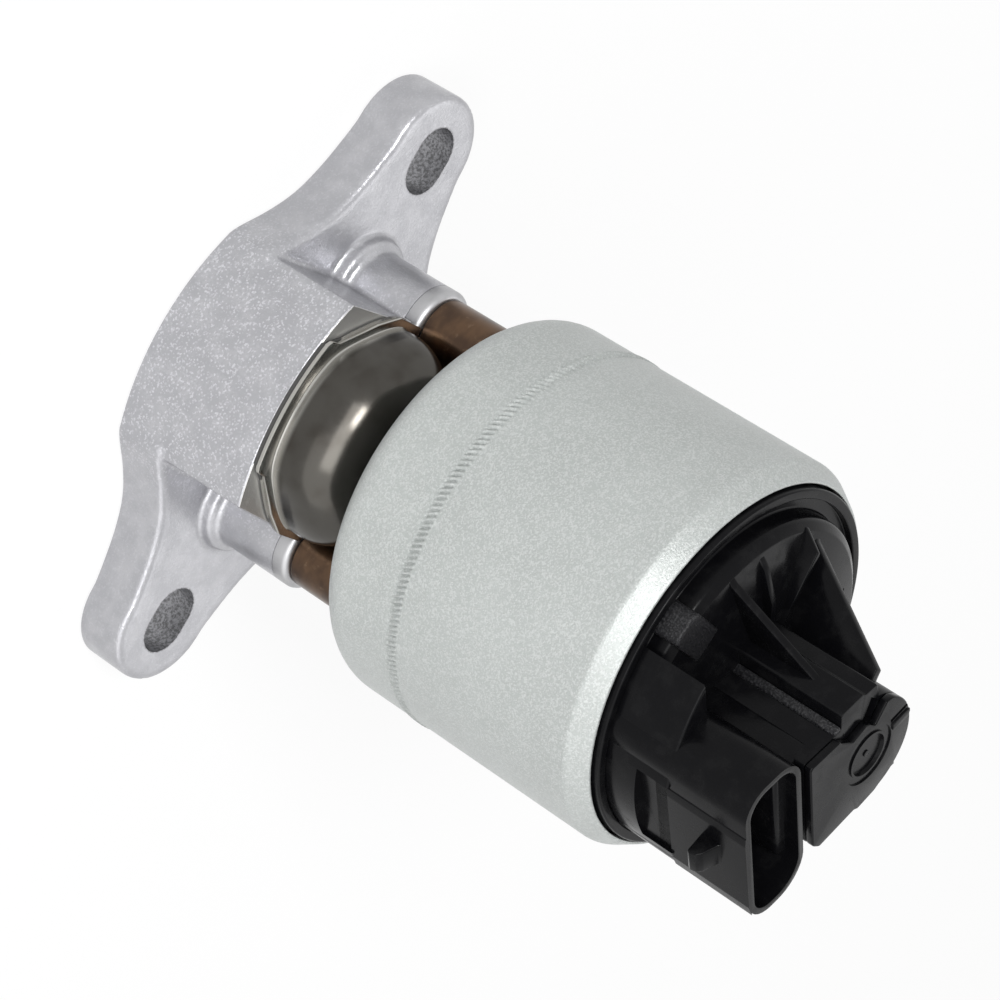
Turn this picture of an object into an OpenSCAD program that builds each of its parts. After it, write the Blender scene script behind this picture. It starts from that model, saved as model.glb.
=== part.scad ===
// Exhaust gas recirculation valve with a linear solenoid and a position sensor.
// The origin is the valve axis at the bottom face of the flange.
// Z runs up the valve axis to the connector, X runs along the two flange ears.

/* [Mounting flange] */
// distance between the two mounting slots, centre to centre
slot_pitch = 83.4; // [78:0.1:90]
// width of each mounting slot
slot_w = 8.8; // [8.2:0.1:9.2]
// end-to-end length of each mounting slot
slot_len = 11.6; // [10:0.1:13]
// thickness of the flange ears
ear_t = 8.7; // [7:0.1:11]
// radius of the rounded ear tips
ear_tip_r = 10.2; // [9.5:0.1:12]
// how far the centres of the tips lie outside the slots' centres
ear_tip_reach = 0.9; // [0:0.1:1.5]
// radius of the hollow that blends each ear into the body
ear_blend_r = 10; // [6:0.5:12]

/* [Base casting] */
// height of the casting's top face
base_h = 24.8; // [22:0.1:28]
// half width of the casting body between the ears
body_half_w = 17.5; // [16:0.1:18]
// depth of the casting body from front to back at the flange
body_depth = 57.6; // [54:0.2:60]
// radius of the bowed front and back walls at the flange
wall_r = 40; // [36:0.5:46]
// draft of the bowed walls over the full height
wall_draft = 1.7; // [0:0.1:2]
// distance between the two spacer posts, centre to centre
post_pitch = 39.8; // [38:0.1:42]
// radius of the posts that carry the spacers
post_r = 6.5; // [6:0.1:7]
// height of the shoulder near the top of each post
post_shoulder_z = 23.3; // [21:0.1:24]

/* [Gas passages] */
// radius of the bore in the casting that takes the valve seat
seat_bore_r = 10.4; // [9:0.1:11]
// radius of the bush that guides the stem
bush_r = 5; // [4.2:0.1:6]
// radius of the shaft seal
seal_r = 7.4; // [6.6:0.1:8]
// height of the shaft seal
seal_t = 2; // [1.2:0.1:3]
// radius of the hole through the valve seat
seat_hole_r = 6.6; // [5:0.1:7.5]
// height of the underside of the seat ring above the flange face
seat_z = 2; // [1:0.1:3]
// thickness of the seat ring
seat_t = 4.6; // [3:0.1:5]
// radius of the outlet port in the flange face
outlet_r = 6.6; // [5:0.1:7]
// distance from the valve axis to the outlet port
outlet_y = 18; // [17:0.5:19]
// radius of the gas chamber round the stem
chamber_r = 11.4; // [10:0.1:12]
// height of the roof of the gas chamber
chamber_top = 17.6; // [16:0.1:18.5]

/* [Heat shield] */
// sheet thickness of the stamped shield
shield_t = 0.8; // [0.6:0.1:1.2]
// thickness of the gasket under the shield
gasket_t = 0.6; // [0.4:0.1:1]
// radius of the shield's flat flange
shield_flange_r = 26.9; // [25:0.1:27]
// radius of the raised dome at its foot
dome_foot_r = 24.8; // [22:0.1:26]
// radius of the raised dome at its shoulder
dome_top_r = 23.9; // [21:0.1:24.5]
// radius of the rounded shoulder of the dome
dome_round_r = 11.5; // [4:0.5:12]
// height of the dome above the shield's flat flange
dome_h = 12.6; // [10:0.1:18]
// radius of the hollow stamped round each spacer
dome_scallop_r = 8.4; // [7.5:0.1:10]

/* [Spacers and screws] */
// outer radius of the spacer tubes
spacer_r = 5.5; // [5:0.1:6]
// radius of the through screws
screw_r = 2.5; // [2:0.1:3]
// free room between a screw and its clearance hole
screw_room = 0.3; // [0.2:0.05:0.5]
// radius of the screw heads
screw_head_r = 4.6; // [4:0.1:5]
// height of the screw heads
screw_head_h = 3.8; // [3:0.1:4]
// height above the flange where the screws end
screw_tip_z = 9.5; // [5:0.5:14]

/* [Solenoid can] */
// outer radius of the solenoid can
can_r = 32; // [30:0.1:34]
// sheet thickness of the can
can_t = 1.2; // [1:0.1:1.6]
// free height between the heat shield's dome and the can
can_gap = 5.2; // [2:0.1:8]
// length of the can from its underside to the rolled rim
can_len = 53; // [50:0.1:58]
// radius of the rounded bottom corner of the can
can_round_r = 6; // [4:0.5:8]
// radius of the rolled rim's rounding
rim_round_r = 2.3; // [1.6:0.1:3]
// width of the rolled rim, from the can's wall to its inner edge
rim_lip = 2.4; // [2:0.1:3]
// height of the tick marks above the can's underside
tick_rise = 16.3; // [14:0.1:19]
// length of each tick mark along the can
tick_len = 2; // [1:0.1:3]
// depth of each tick mark
tick_depth = 0.25; // [0.1:0.05:0.4]
// angle between two tick marks
tick_step = 4; // [3:1:8]

/* [Solenoid inside] */
// thickness of the lower pole plate
pole_t = 4.8; // [4:0.1:6]
// radius of the armature
armature_r = 11.2; // [10:0.1:12]
// height of the armature's lower face above the can's underside, valve closed
armature_rise = 13.5; // [12.5:0.1:16]
// length of the armature
armature_len = 16; // [12:0.5:18]
// running room between the armature and its sleeve
armature_room = 0.3; // [0.2:0.05:0.5]
// wall thickness of the armature sleeve
sleeve_t = 0.5; // [0.4:0.1:0.8]
// lift of the valve from closed to fully open
valve_lift = 4.5; // [3:0.1:5]
// free room left between the armature and each pole
pole_room = 0.5; // [0.3:0.1:1]
// distance from the upper pole disc's lower face to the can's rolled rim
upper_pole_drop = 10.5; // [9.5:0.1:12]
// thickness of the upper pole disc
upper_pole_t = 4.5; // [3:0.1:5]
// room between the coil winding and the can's wall
winding_room = 3.4; // [2.4:0.1:6]

/* [Pintle] */
// radius of the pintle stem
stem_r = 3; // [2.5:0.1:3.5]
// running room between the stem and its bush
stem_room = 0.06; // [0.03:0.01:0.1]
// radius of the pintle head
head_r = 7.9; // [7:0.1:8.5]

/* [Springs] */
// wire radius of the return spring
spring_wire_r = 0.5; // [0.4:0.05:0.7]
// mean radius of the return spring
spring_r = 5.6; // [5.3:0.1:5.8]
// number of turns of the return spring
spring_turns = 7; // [5:1:9]
// wire radius of the sensor spring
sensor_wire_r = 0.25; // [0.2:0.05:0.4]
// mean radius of the sensor spring
sensor_spring_r = 3; // [2.4:0.1:3.4]
// number of turns of the sensor spring
sensor_turns = 6; // [4:1:8]

/* [Sensor cap] */
// angle of the connector about the valve axis
cap_angle = -36; // [-45:1:-30]
// height of the cap's deck above the can's rolled rim
deck_rise = 1; // [0.2:0.1:2]
// width of the open groove between the rim and the drum
drum_gap = 2; // [1.2:0.1:3]
// height of the drum above the deck
drum_h = 11; // [8:0.1:13]
// height of the raised disc above the deck
disc_h = 2.8; // [1.5:0.1:4]
// height of the sensor tower above the deck
tower_h = 25.3; // [23:0.1:30]
// radius of the round part of the sensor tower
tower_r = 9.4; // [8.5:0.1:10]
// thickness of the cover on the sensor tower
cover_t = 1.6; // [1.2:0.1:2]
// radius of the round sensor room in the tower
sensor_room_r = 6.2; // [5.6:0.1:6.6]
// width of the resistor board
board_w = 9; // [7:0.1:9.4]
// thickness of the resistor board
board_t = 1; // [0.6:0.1:1.2]

/* [Connector] */
// height of the mouth of the connector shroud above the deck
shroud_h = 24.6; // [22:0.1:28]
// length of the shroud across the connector
shroud_len = 28.6; // [26:0.1:30]
// width of the shroud
shroud_w = 11.8; // [10:0.1:13]
// how far the shroud's outer face stands inside the can's wall
shroud_in = 6; // [5:0.1:8]
// radius of the shroud's corners
shroud_round_r = 4.6; // [3:0.1:5.5]
// wall thickness of the shroud
shroud_t = 1.3; // [1:0.1:1.8]
// depth of the connector socket
socket_depth = 14.6; // [11:0.1:16]
// distance between two terminals
pin_pitch = 4.4; // [4:0.1:5]
// length of the terminals inside the socket
pin_len = 9; // [6:0.1:11]

/* [Hidden] */
$fn = 64;
eps = 0.01;
post_x = post_pitch / 2;
slot_x = slot_pitch / 2;
gasket_z = base_h;
shield_z = base_h + gasket_t;
spacer_z = shield_z + shield_t;
dome_top_z = spacer_z + dome_h;
can_z = dome_top_z + can_gap;
rim_z = can_z + can_len;
tick_z = can_z + tick_rise;
deck_z = rim_z + deck_rise;
tower_z = deck_z + tower_h;
shroud_z = deck_z + shroud_h;
armature_z = can_z + armature_rise;
upper_pole_z = rim_z - upper_pole_drop;
can_floor = can_z + can_t;
can_in_r = can_r - can_t;
lip_z = rim_z - can_t - 0.4;
seat_top = seat_z + seat_t;
sleeve_r = armature_r + armature_room;
pole_hub_top = armature_z - pole_room;
pole_hub_z = can_floor + pole_t;
armature_top = armature_z + armature_len;
stator_z = armature_top + valve_lift + pole_room;
upper_pole_top = upper_pole_z + upper_pole_t;
spring_low = armature_top - 6;
spring_high = upper_pole_z - 0.6;
nut_h = 3;
pintle_top = spring_low + nut_h + 0.5;
cap_z = upper_pole_top + 0.2;
cover_z = tower_z - cover_t;
plug_z = cover_z - 1.2;
plunger_r = 1.6;
plunger_z = pintle_top + 0.3;
wiper_z = deck_z + 6;
wiper_h = 4.5;
wiper_r = sensor_room_r - 1.6;
pin_count = 5;
shroud_v = can_r - shroud_in;
socket_v = shroud_v - shroud_w / 2;
socket_z = shroud_z - socket_depth;
pin_tip_z = socket_z + pin_len;
rim_inner_r = can_r - rim_lip;
drum_r = rim_inner_r - drum_gap;
drum_z = deck_z + drum_h;
winding_r = can_in_r - winding_room;
cap_ring_r = 1.1;
cap_ring_mid_r = can_in_r - 0.2 - cap_ring_r;
seal_low = base_h - seal_t;
bush_top = chamber_top - 1;
ear_blend_x = slot_x - 7.3;
ear_blend_y = ear_tip_r + 1.2;
plate_x = post_x - 0.9;
plate_y = shield_flange_r - 1.8;
shield_bow_r = wall_r - 2;
shield_bow_y = shield_bow_r - shield_flange_r;

// a tube standing on a plane
module tube(ro, ri, z0, z1) {
  difference() {
    translate([0, 0, z0]) cylinder(r = ro, h = z1 - z0);
    translate([0, 0, z0 - 1]) cylinder(r = ri, h = z1 - z0 + 2);
  }
}

// both spacer posts
module at_posts() {
  for (s = [-1, 1]) {
    translate([s * post_x, 0, 0]) children();
  }
}

// the local frame of the cap, with its first axis out to the connector
module cap_frame() {
  rotate([0, 0, cap_angle]) children();
}

// one quarter of the ear outline, repeated by mirrors
module ear_quarter() {
  difference() {
    polygon([[0, 0], [0, -20], [body_half_w - 0.5, -body_depth / 2 + 3.6],
      [slot_x - 14.8, -ear_blend_y - 3.3], [ear_blend_x, -ear_blend_y],
      [slot_x - 1, -ear_tip_r + 0.05], [slot_x, -ear_tip_r],
      [slot_x + ear_tip_reach, -ear_tip_r], [slot_x + ear_tip_reach, 0]]);
    translate([ear_blend_x, -ear_blend_y - ear_blend_r]) circle(r = ear_blend_r);
  }
}

// the outline of the flange seen from above
module flange_outline() {
  for (a = [0, 1]) {
    for (b = [0, 1]) {
      mirror([a, 0, 0]) mirror([0, b, 0]) ear_quarter();
    }
  }
  for (s = [-1, 1]) {
    translate([s * (slot_x + ear_tip_reach), 0]) circle(r = ear_tip_r);
  }
}

// one mounting slot
module slot_cut() {
  straight = slot_len - slot_w;
  translate([0, 0, -1]) linear_extrude(height = ear_t + 2) {
    square([straight, slot_w], center = true);
    for (s = [-1, 1]) {
      translate([s * straight / 2, 0]) circle(r = slot_w / 2);
    }
  }
}

// the casting body between the ears, bowed at front and back
module body_block() {
  wall_y = body_depth / 2 - wall_r;
  far_y = body_depth / 2 + 3;
  wide_x = body_half_w + 1.1;
  intersection() {
    linear_extrude(height = base_h) polygon([[-body_half_w, -far_y], [body_half_w, -far_y],
      [wide_x, -8], [wide_x, 8], [body_half_w, far_y], [-body_half_w, far_y],
      [-wide_x, 8], [-wide_x, -8]]);
    translate([0, -wall_y, 0]) cylinder(r1 = wall_r, r2 = wall_r - wall_draft, h = base_h);
    translate([0, wall_y, 0]) cylinder(r1 = wall_r, r2 = wall_r - wall_draft, h = base_h);
  }
}

// the chamber and the two ports
module gas_passages() {
  translate([0, 0, -1]) cylinder(r = seat_bore_r, h = seat_top + 1);
  translate([0, 0, seat_top - 1]) cylinder(r = seat_bore_r - 1, h = 4);
  translate([0, 0, 9]) cylinder(r = chamber_r, h = chamber_top - 9);
  translate([0, -outlet_y, -1]) cylinder(r = outlet_r, h = chamber_top + 1);
  translate([-outlet_r, -outlet_y, 9]) cube([2 * outlet_r, outlet_y, chamber_top - 9]);
}

module base_casting() {
  color([0.74, 0.74, 0.76])
  difference() {
    union() {
      linear_extrude(height = ear_t) flange_outline();
      body_block();
      at_posts() cylinder(r = post_r, h = post_shoulder_z);
      at_posts() cylinder(r = post_r - 0.9, h = base_h);
    }
    for (s = [-1, 1]) {
      translate([s * slot_x, 0, 0]) slot_cut();
    }
    at_posts() tube(post_r + 0.1, post_r - 0.9, post_shoulder_z, base_h + 1);
    gas_passages();
    translate([0, 0, bush_top]) cylinder(r = bush_r, h = base_h - bush_top);
    translate([0, 0, seal_low]) cylinder(r = seal_r + 0.1, h = seal_t + 1);
    at_posts() translate([0, 0, screw_tip_z - 1.5]) cylinder(r = screw_r, h = base_h);
  }
}

module valve_seat() {
  color([0.45, 0.44, 0.43])
  difference() {
    translate([0, 0, seat_z]) cylinder(r = seat_bore_r, h = seat_t);
    translate([0, 0, seat_z - 1]) cylinder(r = seat_hole_r, h = seat_t + 2);
    translate([0, 0, seat_top - 1]) cylinder(r1 = seat_hole_r, r2 = seat_hole_r + 1.1, h = 1.1);
  }
}

module shaft_bush() {
  color([0.6, 0.48, 0.3])
  difference() {
    union() {
      translate([0, 0, bush_top]) cylinder(r = bush_r, h = seal_low - bush_top);
      translate([0, 0, bush_top - 0.8]) cylinder(r = bush_r + 1.2, h = 1.8);
    }
    cylinder(r = stem_r + stem_room, h = base_h);
  }
}

module shaft_seal() {
  color([0.1, 0.1, 0.1])
  tube(seal_r, stem_r + 0.1, seal_low, base_h);
}

module bush_retainer() {
  color([0.62, 0.62, 0.6])
  difference() {
    union() {
      translate([0, 0, base_h]) cylinder(r = seal_r + 1, h = 1.4);
      translate([0, 0, base_h + 1.4 - eps]) cylinder(r1 = seal_r + 1, r2 = seal_r - 1.4, h = 1.6);
    }
    cylinder(r = stem_r + 0.6, h = 2 * base_h);
  }
}

// one quarter of the shield's cut edge, drawn in by e
module shield_quarter(e) {
  polygon([[0, 0], [0, -plate_y - 6], [plate_x - 8.4 - 0.8 * e, -plate_y - 6],
    [plate_x - 8.4 - 0.8 * e, -plate_y + 0.4 * e], [plate_x - 3.2 - 0.8 * e, -plate_y + 8.8 + 0.5 * e],
    [plate_x - 0.9 * e, -plate_y + 13.6 + 0.4 * e], [plate_x - e, 0]]);
}

// the flat outline of the shield, drawn in by e
module shield_outline(e) {
  intersection() {
    translate([0, shield_bow_y]) circle(r = shield_bow_r - e);
    translate([0, -shield_bow_y]) circle(r = shield_bow_r - e);
    union() {
      for (a = [0, 1]) {
        for (b = [0, 1]) {
          mirror([a, 0, 0]) mirror([0, b, 0]) shield_quarter(e);
        }
      }
    }
  }
}

// the raised dome as a solid, drawn in by e on every side
module dome_solid(e, z0) {
  zs = dome_top_z - dome_round_r;
  difference() {
    intersection() {
      rotate_extrude() {
        polygon([[0, z0], [dome_foot_r - e, z0], [dome_top_r - e, zs],
          [dome_top_r - dome_round_r, zs], [dome_top_r - dome_round_r, dome_top_z - e],
          [0, dome_top_z - e]]);
        translate([dome_top_r - dome_round_r, zs]) intersection() {
        circle(r = dome_round_r - e);
        square(dome_round_r);
      }
      }
      linear_extrude(height = dome_top_z + 1) shield_outline(1.7 + e);
    }
    at_posts() cylinder(r = dome_scallop_r + e, h = dome_top_z + 2);
  }
}

module shield_gasket() {
  color([0.55, 0.55, 0.53])
  difference() {
    translate([0, 0, gasket_z]) linear_extrude(height = gasket_t) shield_outline(0.3);
    cylinder(r = seal_r + 1.6, h = 2 * base_h);
    at_posts() cylinder(r = post_r + 0.1, h = 2 * base_h);
  }
}

module heat_shield() {
  color([0.36, 0.34, 0.32])
  difference() {
    union() {
      translate([0, 0, shield_z]) linear_extrude(height = shield_t) shield_outline(0);
      at_posts() translate([0, 0, post_shoulder_z]) cylinder(r = post_r, h = spacer_z - post_shoulder_z);
      dome_solid(0, shield_z);
    }
    dome_solid(shield_t, shield_z - 1);
    at_posts() translate([0, 0, 0]) cylinder(r = post_r - 0.9, h = shield_z);
    at_posts() cylinder(r = screw_r + screw_room, h = 60);
    translate([0, 0, dome_top_z - 4]) cylinder(r = stem_r + 0.8, h = 8);
  }
}

module spacer_tube() {
  color([0.5, 0.42, 0.34])
  tube(spacer_r, screw_r + screw_room, spacer_z, can_z);
}

module spacer_left() {
  translate([-post_x, 0, 0]) spacer_tube();
}

module spacer_right() {
  translate([post_x, 0, 0]) spacer_tube();
}

module assembly_screws() {
  color([0.55, 0.55, 0.53])
  at_posts() difference() {
    union() {
      translate([0, 0, screw_tip_z]) cylinder(r = screw_r, h = can_floor - screw_tip_z + 1);
      translate([0, 0, can_floor]) cylinder(r = screw_head_r, h = screw_head_h);
    }
    translate([0, 0, can_floor + 1.8]) cylinder(r = 2.3, h = 5, $fn = 6);
  }
}

// the room inside the can
module can_room() {
  rc = can_round_r - can_t;
  rotate_extrude() {
    translate([can_in_r - rc, can_floor + rc]) circle(r = rc);
    translate([0, can_floor]) square([can_in_r - rc, lip_z - can_floor]);
    translate([0, can_floor + rc]) square([can_in_r, lip_z - can_floor - rc]);
  }
}

module solenoid_can() {
  color([0.78, 0.8, 0.79])
  difference() {
    rotate_extrude() {
      translate([can_r - can_round_r, can_z + can_round_r]) circle(r = can_round_r);
      translate([0, can_z]) square([can_r - can_round_r, rim_z - can_z]);
      translate([0, can_z + can_round_r]) square([can_r, rim_z - can_z - can_round_r - rim_round_r]);
      translate([can_r - rim_round_r, rim_z - rim_round_r]) circle(r = rim_round_r);
    }
    can_room();
    translate([0, 0, lip_z - 1]) cylinder(r = rim_inner_r, h = 10);
    translate([0, 0, can_z - 1]) cylinder(r = stem_r + 1.5, h = 5);
    at_posts() translate([0, 0, can_z - 1]) cylinder(r = screw_r + screw_room, h = 5);
    for (a = [0 : tick_step : 359]) {
      rotate([0, 0, a]) translate([can_r - tick_depth, 0, tick_z]) rotate([38, 0, 0])
        translate([0, -0.3, -tick_len / 2]) cube([1, 0.6, tick_len]);
    }
  }
}

module lower_pole_plate() {
  plate_low_r = can_r - can_round_r - 0.1;
  color([0.6, 0.6, 0.6])
  difference() {
    union() {
      translate([0, 0, can_floor]) cylinder(r1 = plate_low_r, r2 = plate_low_r + 4.5, h = pole_t);
      translate([0, 0, can_floor]) cylinder(r = sleeve_r - 0.05, h = pole_hub_top - can_floor);
    }
    translate([0, 0, can_z]) cylinder(r = stem_r + 0.8, h = 20);
    at_posts() translate([0, 0, can_z]) cylinder(r = screw_head_r + 0.5, h = 20);
  }
}

module armature_sleeve() {
  color([0.7, 0.7, 0.7])
  tube(sleeve_r + sleeve_t, sleeve_r, pole_hub_z, upper_pole_z);
}

module coil_bobbin() {
  ri = sleeve_r + sleeve_t + 0.1;
  z1 = upper_pole_z - 0.8;
  color([0.2, 0.2, 0.21])
  union() {
    tube(ri + 1.5, ri, pole_hub_z, z1);
    tube(winding_r + 1.8, ri + 0.5, pole_hub_z, pole_hub_z + 1.6);
    tube(winding_r + 1.8, ri + 0.5, z1 - 1.6, z1);
  }
}

module coil_winding() {
  ri = sleeve_r + sleeve_t + 1.6;
  color([0.62, 0.32, 0.16])
  tube(winding_r, ri, pole_hub_z + 1.6, upper_pole_z - 2.4);
}

module wave_washer() {
  color([0.65, 0.65, 0.66])
  tube(can_in_r - 12.3, can_in_r - 16.8, upper_pole_z - 0.8, upper_pole_z);
}

// places of the two coil leads in the cap frame
module at_leads() {
  for (s = [-1, 1]) {
    translate([socket_v - 0.5, s * 2 * pin_pitch, 0]) children();
  }
}

module upper_pole_piece() {
  color([0.6, 0.6, 0.6])
  difference() {
    union() {
      translate([0, 0, upper_pole_z]) cylinder(r = can_in_r - 0.3, h = upper_pole_t);
      translate([0, 0, stator_z]) cylinder(r = sleeve_r - 0.05, h = upper_pole_z - stator_z + 1);
    }
    translate([0, 0, stator_z - 1]) cylinder(r = 6.9, h = spring_high - stator_z + 1);
    translate([0, 0, stator_z - 1]) cylinder(r = plunger_r + 0.5, h = 30);
    cap_frame() at_leads() translate([0, 0, upper_pole_z - 1]) cylinder(r = 1.3, h = 8);
  }
}

module cap_seal() {
  color([0.08, 0.08, 0.08])
  rotate_extrude() {
    translate([cap_ring_mid_r, cap_z + cap_ring_r + 0.05]) circle(r = cap_ring_r);
  }
}

// a box with rounded upright edges, from x0 to x1 and y0 to y1
module rounded_box(x0, x1, y0, y1, r, z0, z1) {
  translate([0, 0, z0]) linear_extrude(height = z1 - z0) {
    translate([x0 + r, y0]) square([x1 - x0 - 2 * r, y1 - y0]);
    translate([x0, y0 + r]) square([x1 - x0, y1 - y0 - 2 * r]);
    for (p = [[x0 + r, y0 + r], [x1 - r, y0 + r], [x0 + r, y1 - r], [x1 - r, y1 - r]]) {
      translate(p) circle(r = r);
    }
  }
}

// the outline of the sensor tower, first axis out to the connector
module tower_outline() {
  circle(r = tower_r);
  polygon([[0, -8.8], [12.6, -9.2], [12.6, 8.6], [11.2, 10], [3.4, 9.4], [2.6, 10], [-1, 10]]);
  polygon([[-1.2, -8], [-1.2, -11.4], [4.2, -12], [4.2, -8]]);
}

// a sloping rib from the tower to the deck
module gusset(angle, reach, top, t) {
  rotate([0, 0, angle]) rotate([90, 0, 0]) translate([0, 0, -t / 2])
    linear_extrude(height = t) polygon([[6, deck_z - 1], [reach - 0.6, deck_z - 1],
      [reach - 0.6, deck_z + disc_h], [reach - 1.2, deck_z + disc_h + 0.5], [tower_r + 1, top],
      [6, top]]);
}

// the closed body of the cap before it is hollowed
module cap_body() {
  translate([0, 0, cap_z]) cylinder(r = can_in_r - 0.1, h = lip_z - cap_z);
  rotate_extrude() polygon([[0, cap_z], [rim_inner_r - 0.4, cap_z], [rim_inner_r - 0.4, deck_z],
    [drum_r - 0.2, deck_z], [drum_r - 0.2, deck_z - 1.2], [drum_r - 2.2, deck_z - 1.2],
    [drum_r - 2.2, deck_z + disc_h - 1.6], [drum_r - 3.6, deck_z + disc_h],
    [0, deck_z + disc_h]]);
  cap_frame() {
    translate([0, 0, deck_z - 1]) linear_extrude(height = cover_z - deck_z + 1) tower_outline();
    intersection() {
      translate([0, 0, deck_z - 2]) cylinder(r = drum_r, h = drum_h + 2);
      translate([shroud_v - 8.6, -can_r, deck_z - 3]) cube([can_r, 2 * can_r, 20]);
    }
    rounded_box(shroud_v - shroud_w, shroud_v, -shroud_len / 2, shroud_len / 2, shroud_round_r,
      deck_z - 1, shroud_z);
    translate([9, -9.2, deck_z - 1]) cube([shroud_v - 18, 18.4, cover_z - deck_z + 1]);
    translate([shroud_v - 1, 0, 0]) rotate([90, 0, 0]) translate([0, 0, -3])
      translate([0, shroud_z - 10.6, 0]) linear_extrude(height = 6)
        polygon([[0, 0], [1.4, 1], [3.2, 1.6], [3.4, 2.4], [1.2, 7.6], [0, 7.6]]);
    rotate([0, 0, -61.5]) rounded_box(19, drum_r + 0.2, -2.8, 2.8, 1.6, deck_z - 1, deck_z + 6);
    for (s = [-1, 1]) {
      gusset(s * 90, drum_r - 4, cover_z - 4.7, 1.5);
      gusset(s * 112, drum_r - 4.6, cover_z - 13, 1.3);
      gusset(s * 135, drum_r - 3.8, cover_z - 3, 1.8);
    }
    gusset(180, drum_r - 5.6, cover_z - 12, 1.5);
  }
}

module sensor_cap() {
  color([0.07, 0.07, 0.08])
  difference() {
    cap_body();
    // seal groove under the flange
    tube(can_in_r + 1, cap_ring_mid_r - cap_ring_r - 0.1, cap_z - 1, cap_z + 2 * cap_ring_r + 0.1);
    // room above the pole disc
    translate([0, 0, cap_z - 1]) cylinder(r = can_in_r - 7.8, h = 3);
    // sensor room in the tower
    translate([0, 0, deck_z]) cylinder(r = sensor_room_r, h = 40);
    translate([0, 0, cap_z - 1]) cylinder(r = plunger_r + 0.1, h = 20);
    cap_frame() {
      translate([3, -board_w / 2 - 0.1, deck_z + 2])
        cube([sensor_room_r - 0.8, board_w + 0.2, 30]);
      rounded_box(shroud_v - shroud_w + shroud_t, shroud_v - shroud_t, -shroud_len / 2 + shroud_t,
        shroud_len / 2 - shroud_t, shroud_round_r - shroud_t, socket_z, shroud_z + 1);
      // slot across the foot of the latch side
      translate([shroud_v - 2.6, -7.6, deck_z + 5.3]) cube([10, 15.2, 2.9]);
      translate([shroud_v, -7.6, deck_z + 5.3]) cube([10, 15.2, 8]);
      // holes for the terminals and the coil leads
      for (i = [0 : pin_count - 1]) {
        translate([socket_v - 0.4, (i - 2) * pin_pitch - 0.8, cap_z - 1]) cube([0.8, 1.6, 20]);
      }
      at_leads() translate([0, 0, cap_z - 1]) cylinder(r = 1.1, h = 8);
    }
  }
}

module sensor_cover() {
  color([0.08, 0.08, 0.09])
  cap_frame() difference() {
    union() {
      difference() {
        translate([0, 0, cover_z]) linear_extrude(height = cover_t) tower_outline();
        translate([0, 0, tower_z - 0.5]) cylinder(r = 5.6, h = 1);
      }
      translate([0, 0, plug_z]) cylinder(r = sensor_room_r - 0.2, h = 1.6);
      translate([0, 0, cover_z]) cylinder(r = 4.9, h = cover_t);
    }
    translate([0, 0, tower_z - 0.4]) cylinder(r = 3.4, h = 1);
    for (a = [155, 215]) {
      rotate([0, 0, a]) translate([5.6, -0.5, tower_z - 0.5]) cube([6, 1, 1]);
    }
  }
}

module resistor_board() {
  color([0.12, 0.3, 0.18])
  cap_frame() translate([sensor_room_r + 1.2, -board_w / 2, deck_z + 2.1])
    cube([board_t, board_w, plug_z - deck_z - 3.5]);
}

// one terminal blade with its foot in the cap
module terminal(i) {
  color([0.72, 0.7, 0.62])
  cap_frame() translate([socket_v - 0.4, (i - 3) * pin_pitch - 0.8, 0]) {
    translate([0, 0, deck_z - 3]) cube([0.8, 1.6, pin_tip_z - deck_z + 2]);
    translate([0.1, 0.2, pin_tip_z - 1.1]) cube([0.6, 1.2, 1.1]);
  }
}

module terminal_1() {
  terminal(1);
}

module terminal_2() {
  terminal(2);
}

module terminal_3() {
  terminal(3);
}

module terminal_4() {
  terminal(4);
}

module terminal_5() {
  terminal(5);
}

// one wire from the winding up to its terminal
module coil_lead(s) {
  lead_z = upper_pole_z - 0.8;
  color([0.7, 0.36, 0.18])
  cap_frame() translate([socket_v - 0.5, s * 2 * pin_pitch, lead_z])
    cylinder(r = 0.6, h = deck_z - 3 - lead_z);
}

module coil_lead_1() {
  coil_lead(-1);
}

module coil_lead_2() {
  coil_lead(1);
}

module pintle() {
  color([0.68, 0.67, 0.65])
  union() {
    translate([0, 0, seat_top - 2.2]) cylinder(r1 = 3.4, r2 = 6.2, h = 1.8);
    translate([0, 0, seat_top - 0.4]) cylinder(r1 = 6.2, r2 = 7.1, h = 0.6);
    translate([0, 0, seat_top + 0.2]) cylinder(r = head_r, h = 1.6);
    translate([0, 0, seat_top + 1.8]) cylinder(r1 = head_r, r2 = stem_r, h = 2.6);
    translate([0, 0, seat_top]) cylinder(r = stem_r, h = armature_z - seat_top);
    translate([0, 0, armature_z - 1]) cylinder(r = 2.4, h = pintle_top - armature_z + 1);
  }
}

module armature() {
  color([0.58, 0.58, 0.57])
  difference() {
    translate([0, 0, armature_z]) cylinder(r = armature_r, h = armature_len);
    translate([0, 0, armature_z - 1]) cylinder(r = 2.4, h = armature_len + 2);
    translate([0, 0, spring_low]) cylinder(r = 6.9, h = 10);
    for (a = [45, 135, 225, 315]) {
      rotate([0, 0, a]) translate([8.9, 0, armature_z - 1]) cylinder(r = 1, h = armature_len + 2);
    }
  }
}

module armature_nut() {
  color([0.66, 0.66, 0.64])
  difference() {
    translate([0, 0, spring_low]) cylinder(r = 4.2, h = nut_h, $fn = 6);
    translate([0, 0, spring_low - 1]) cylinder(r = 2.4, h = nut_h + 2);
  }
}

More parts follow.
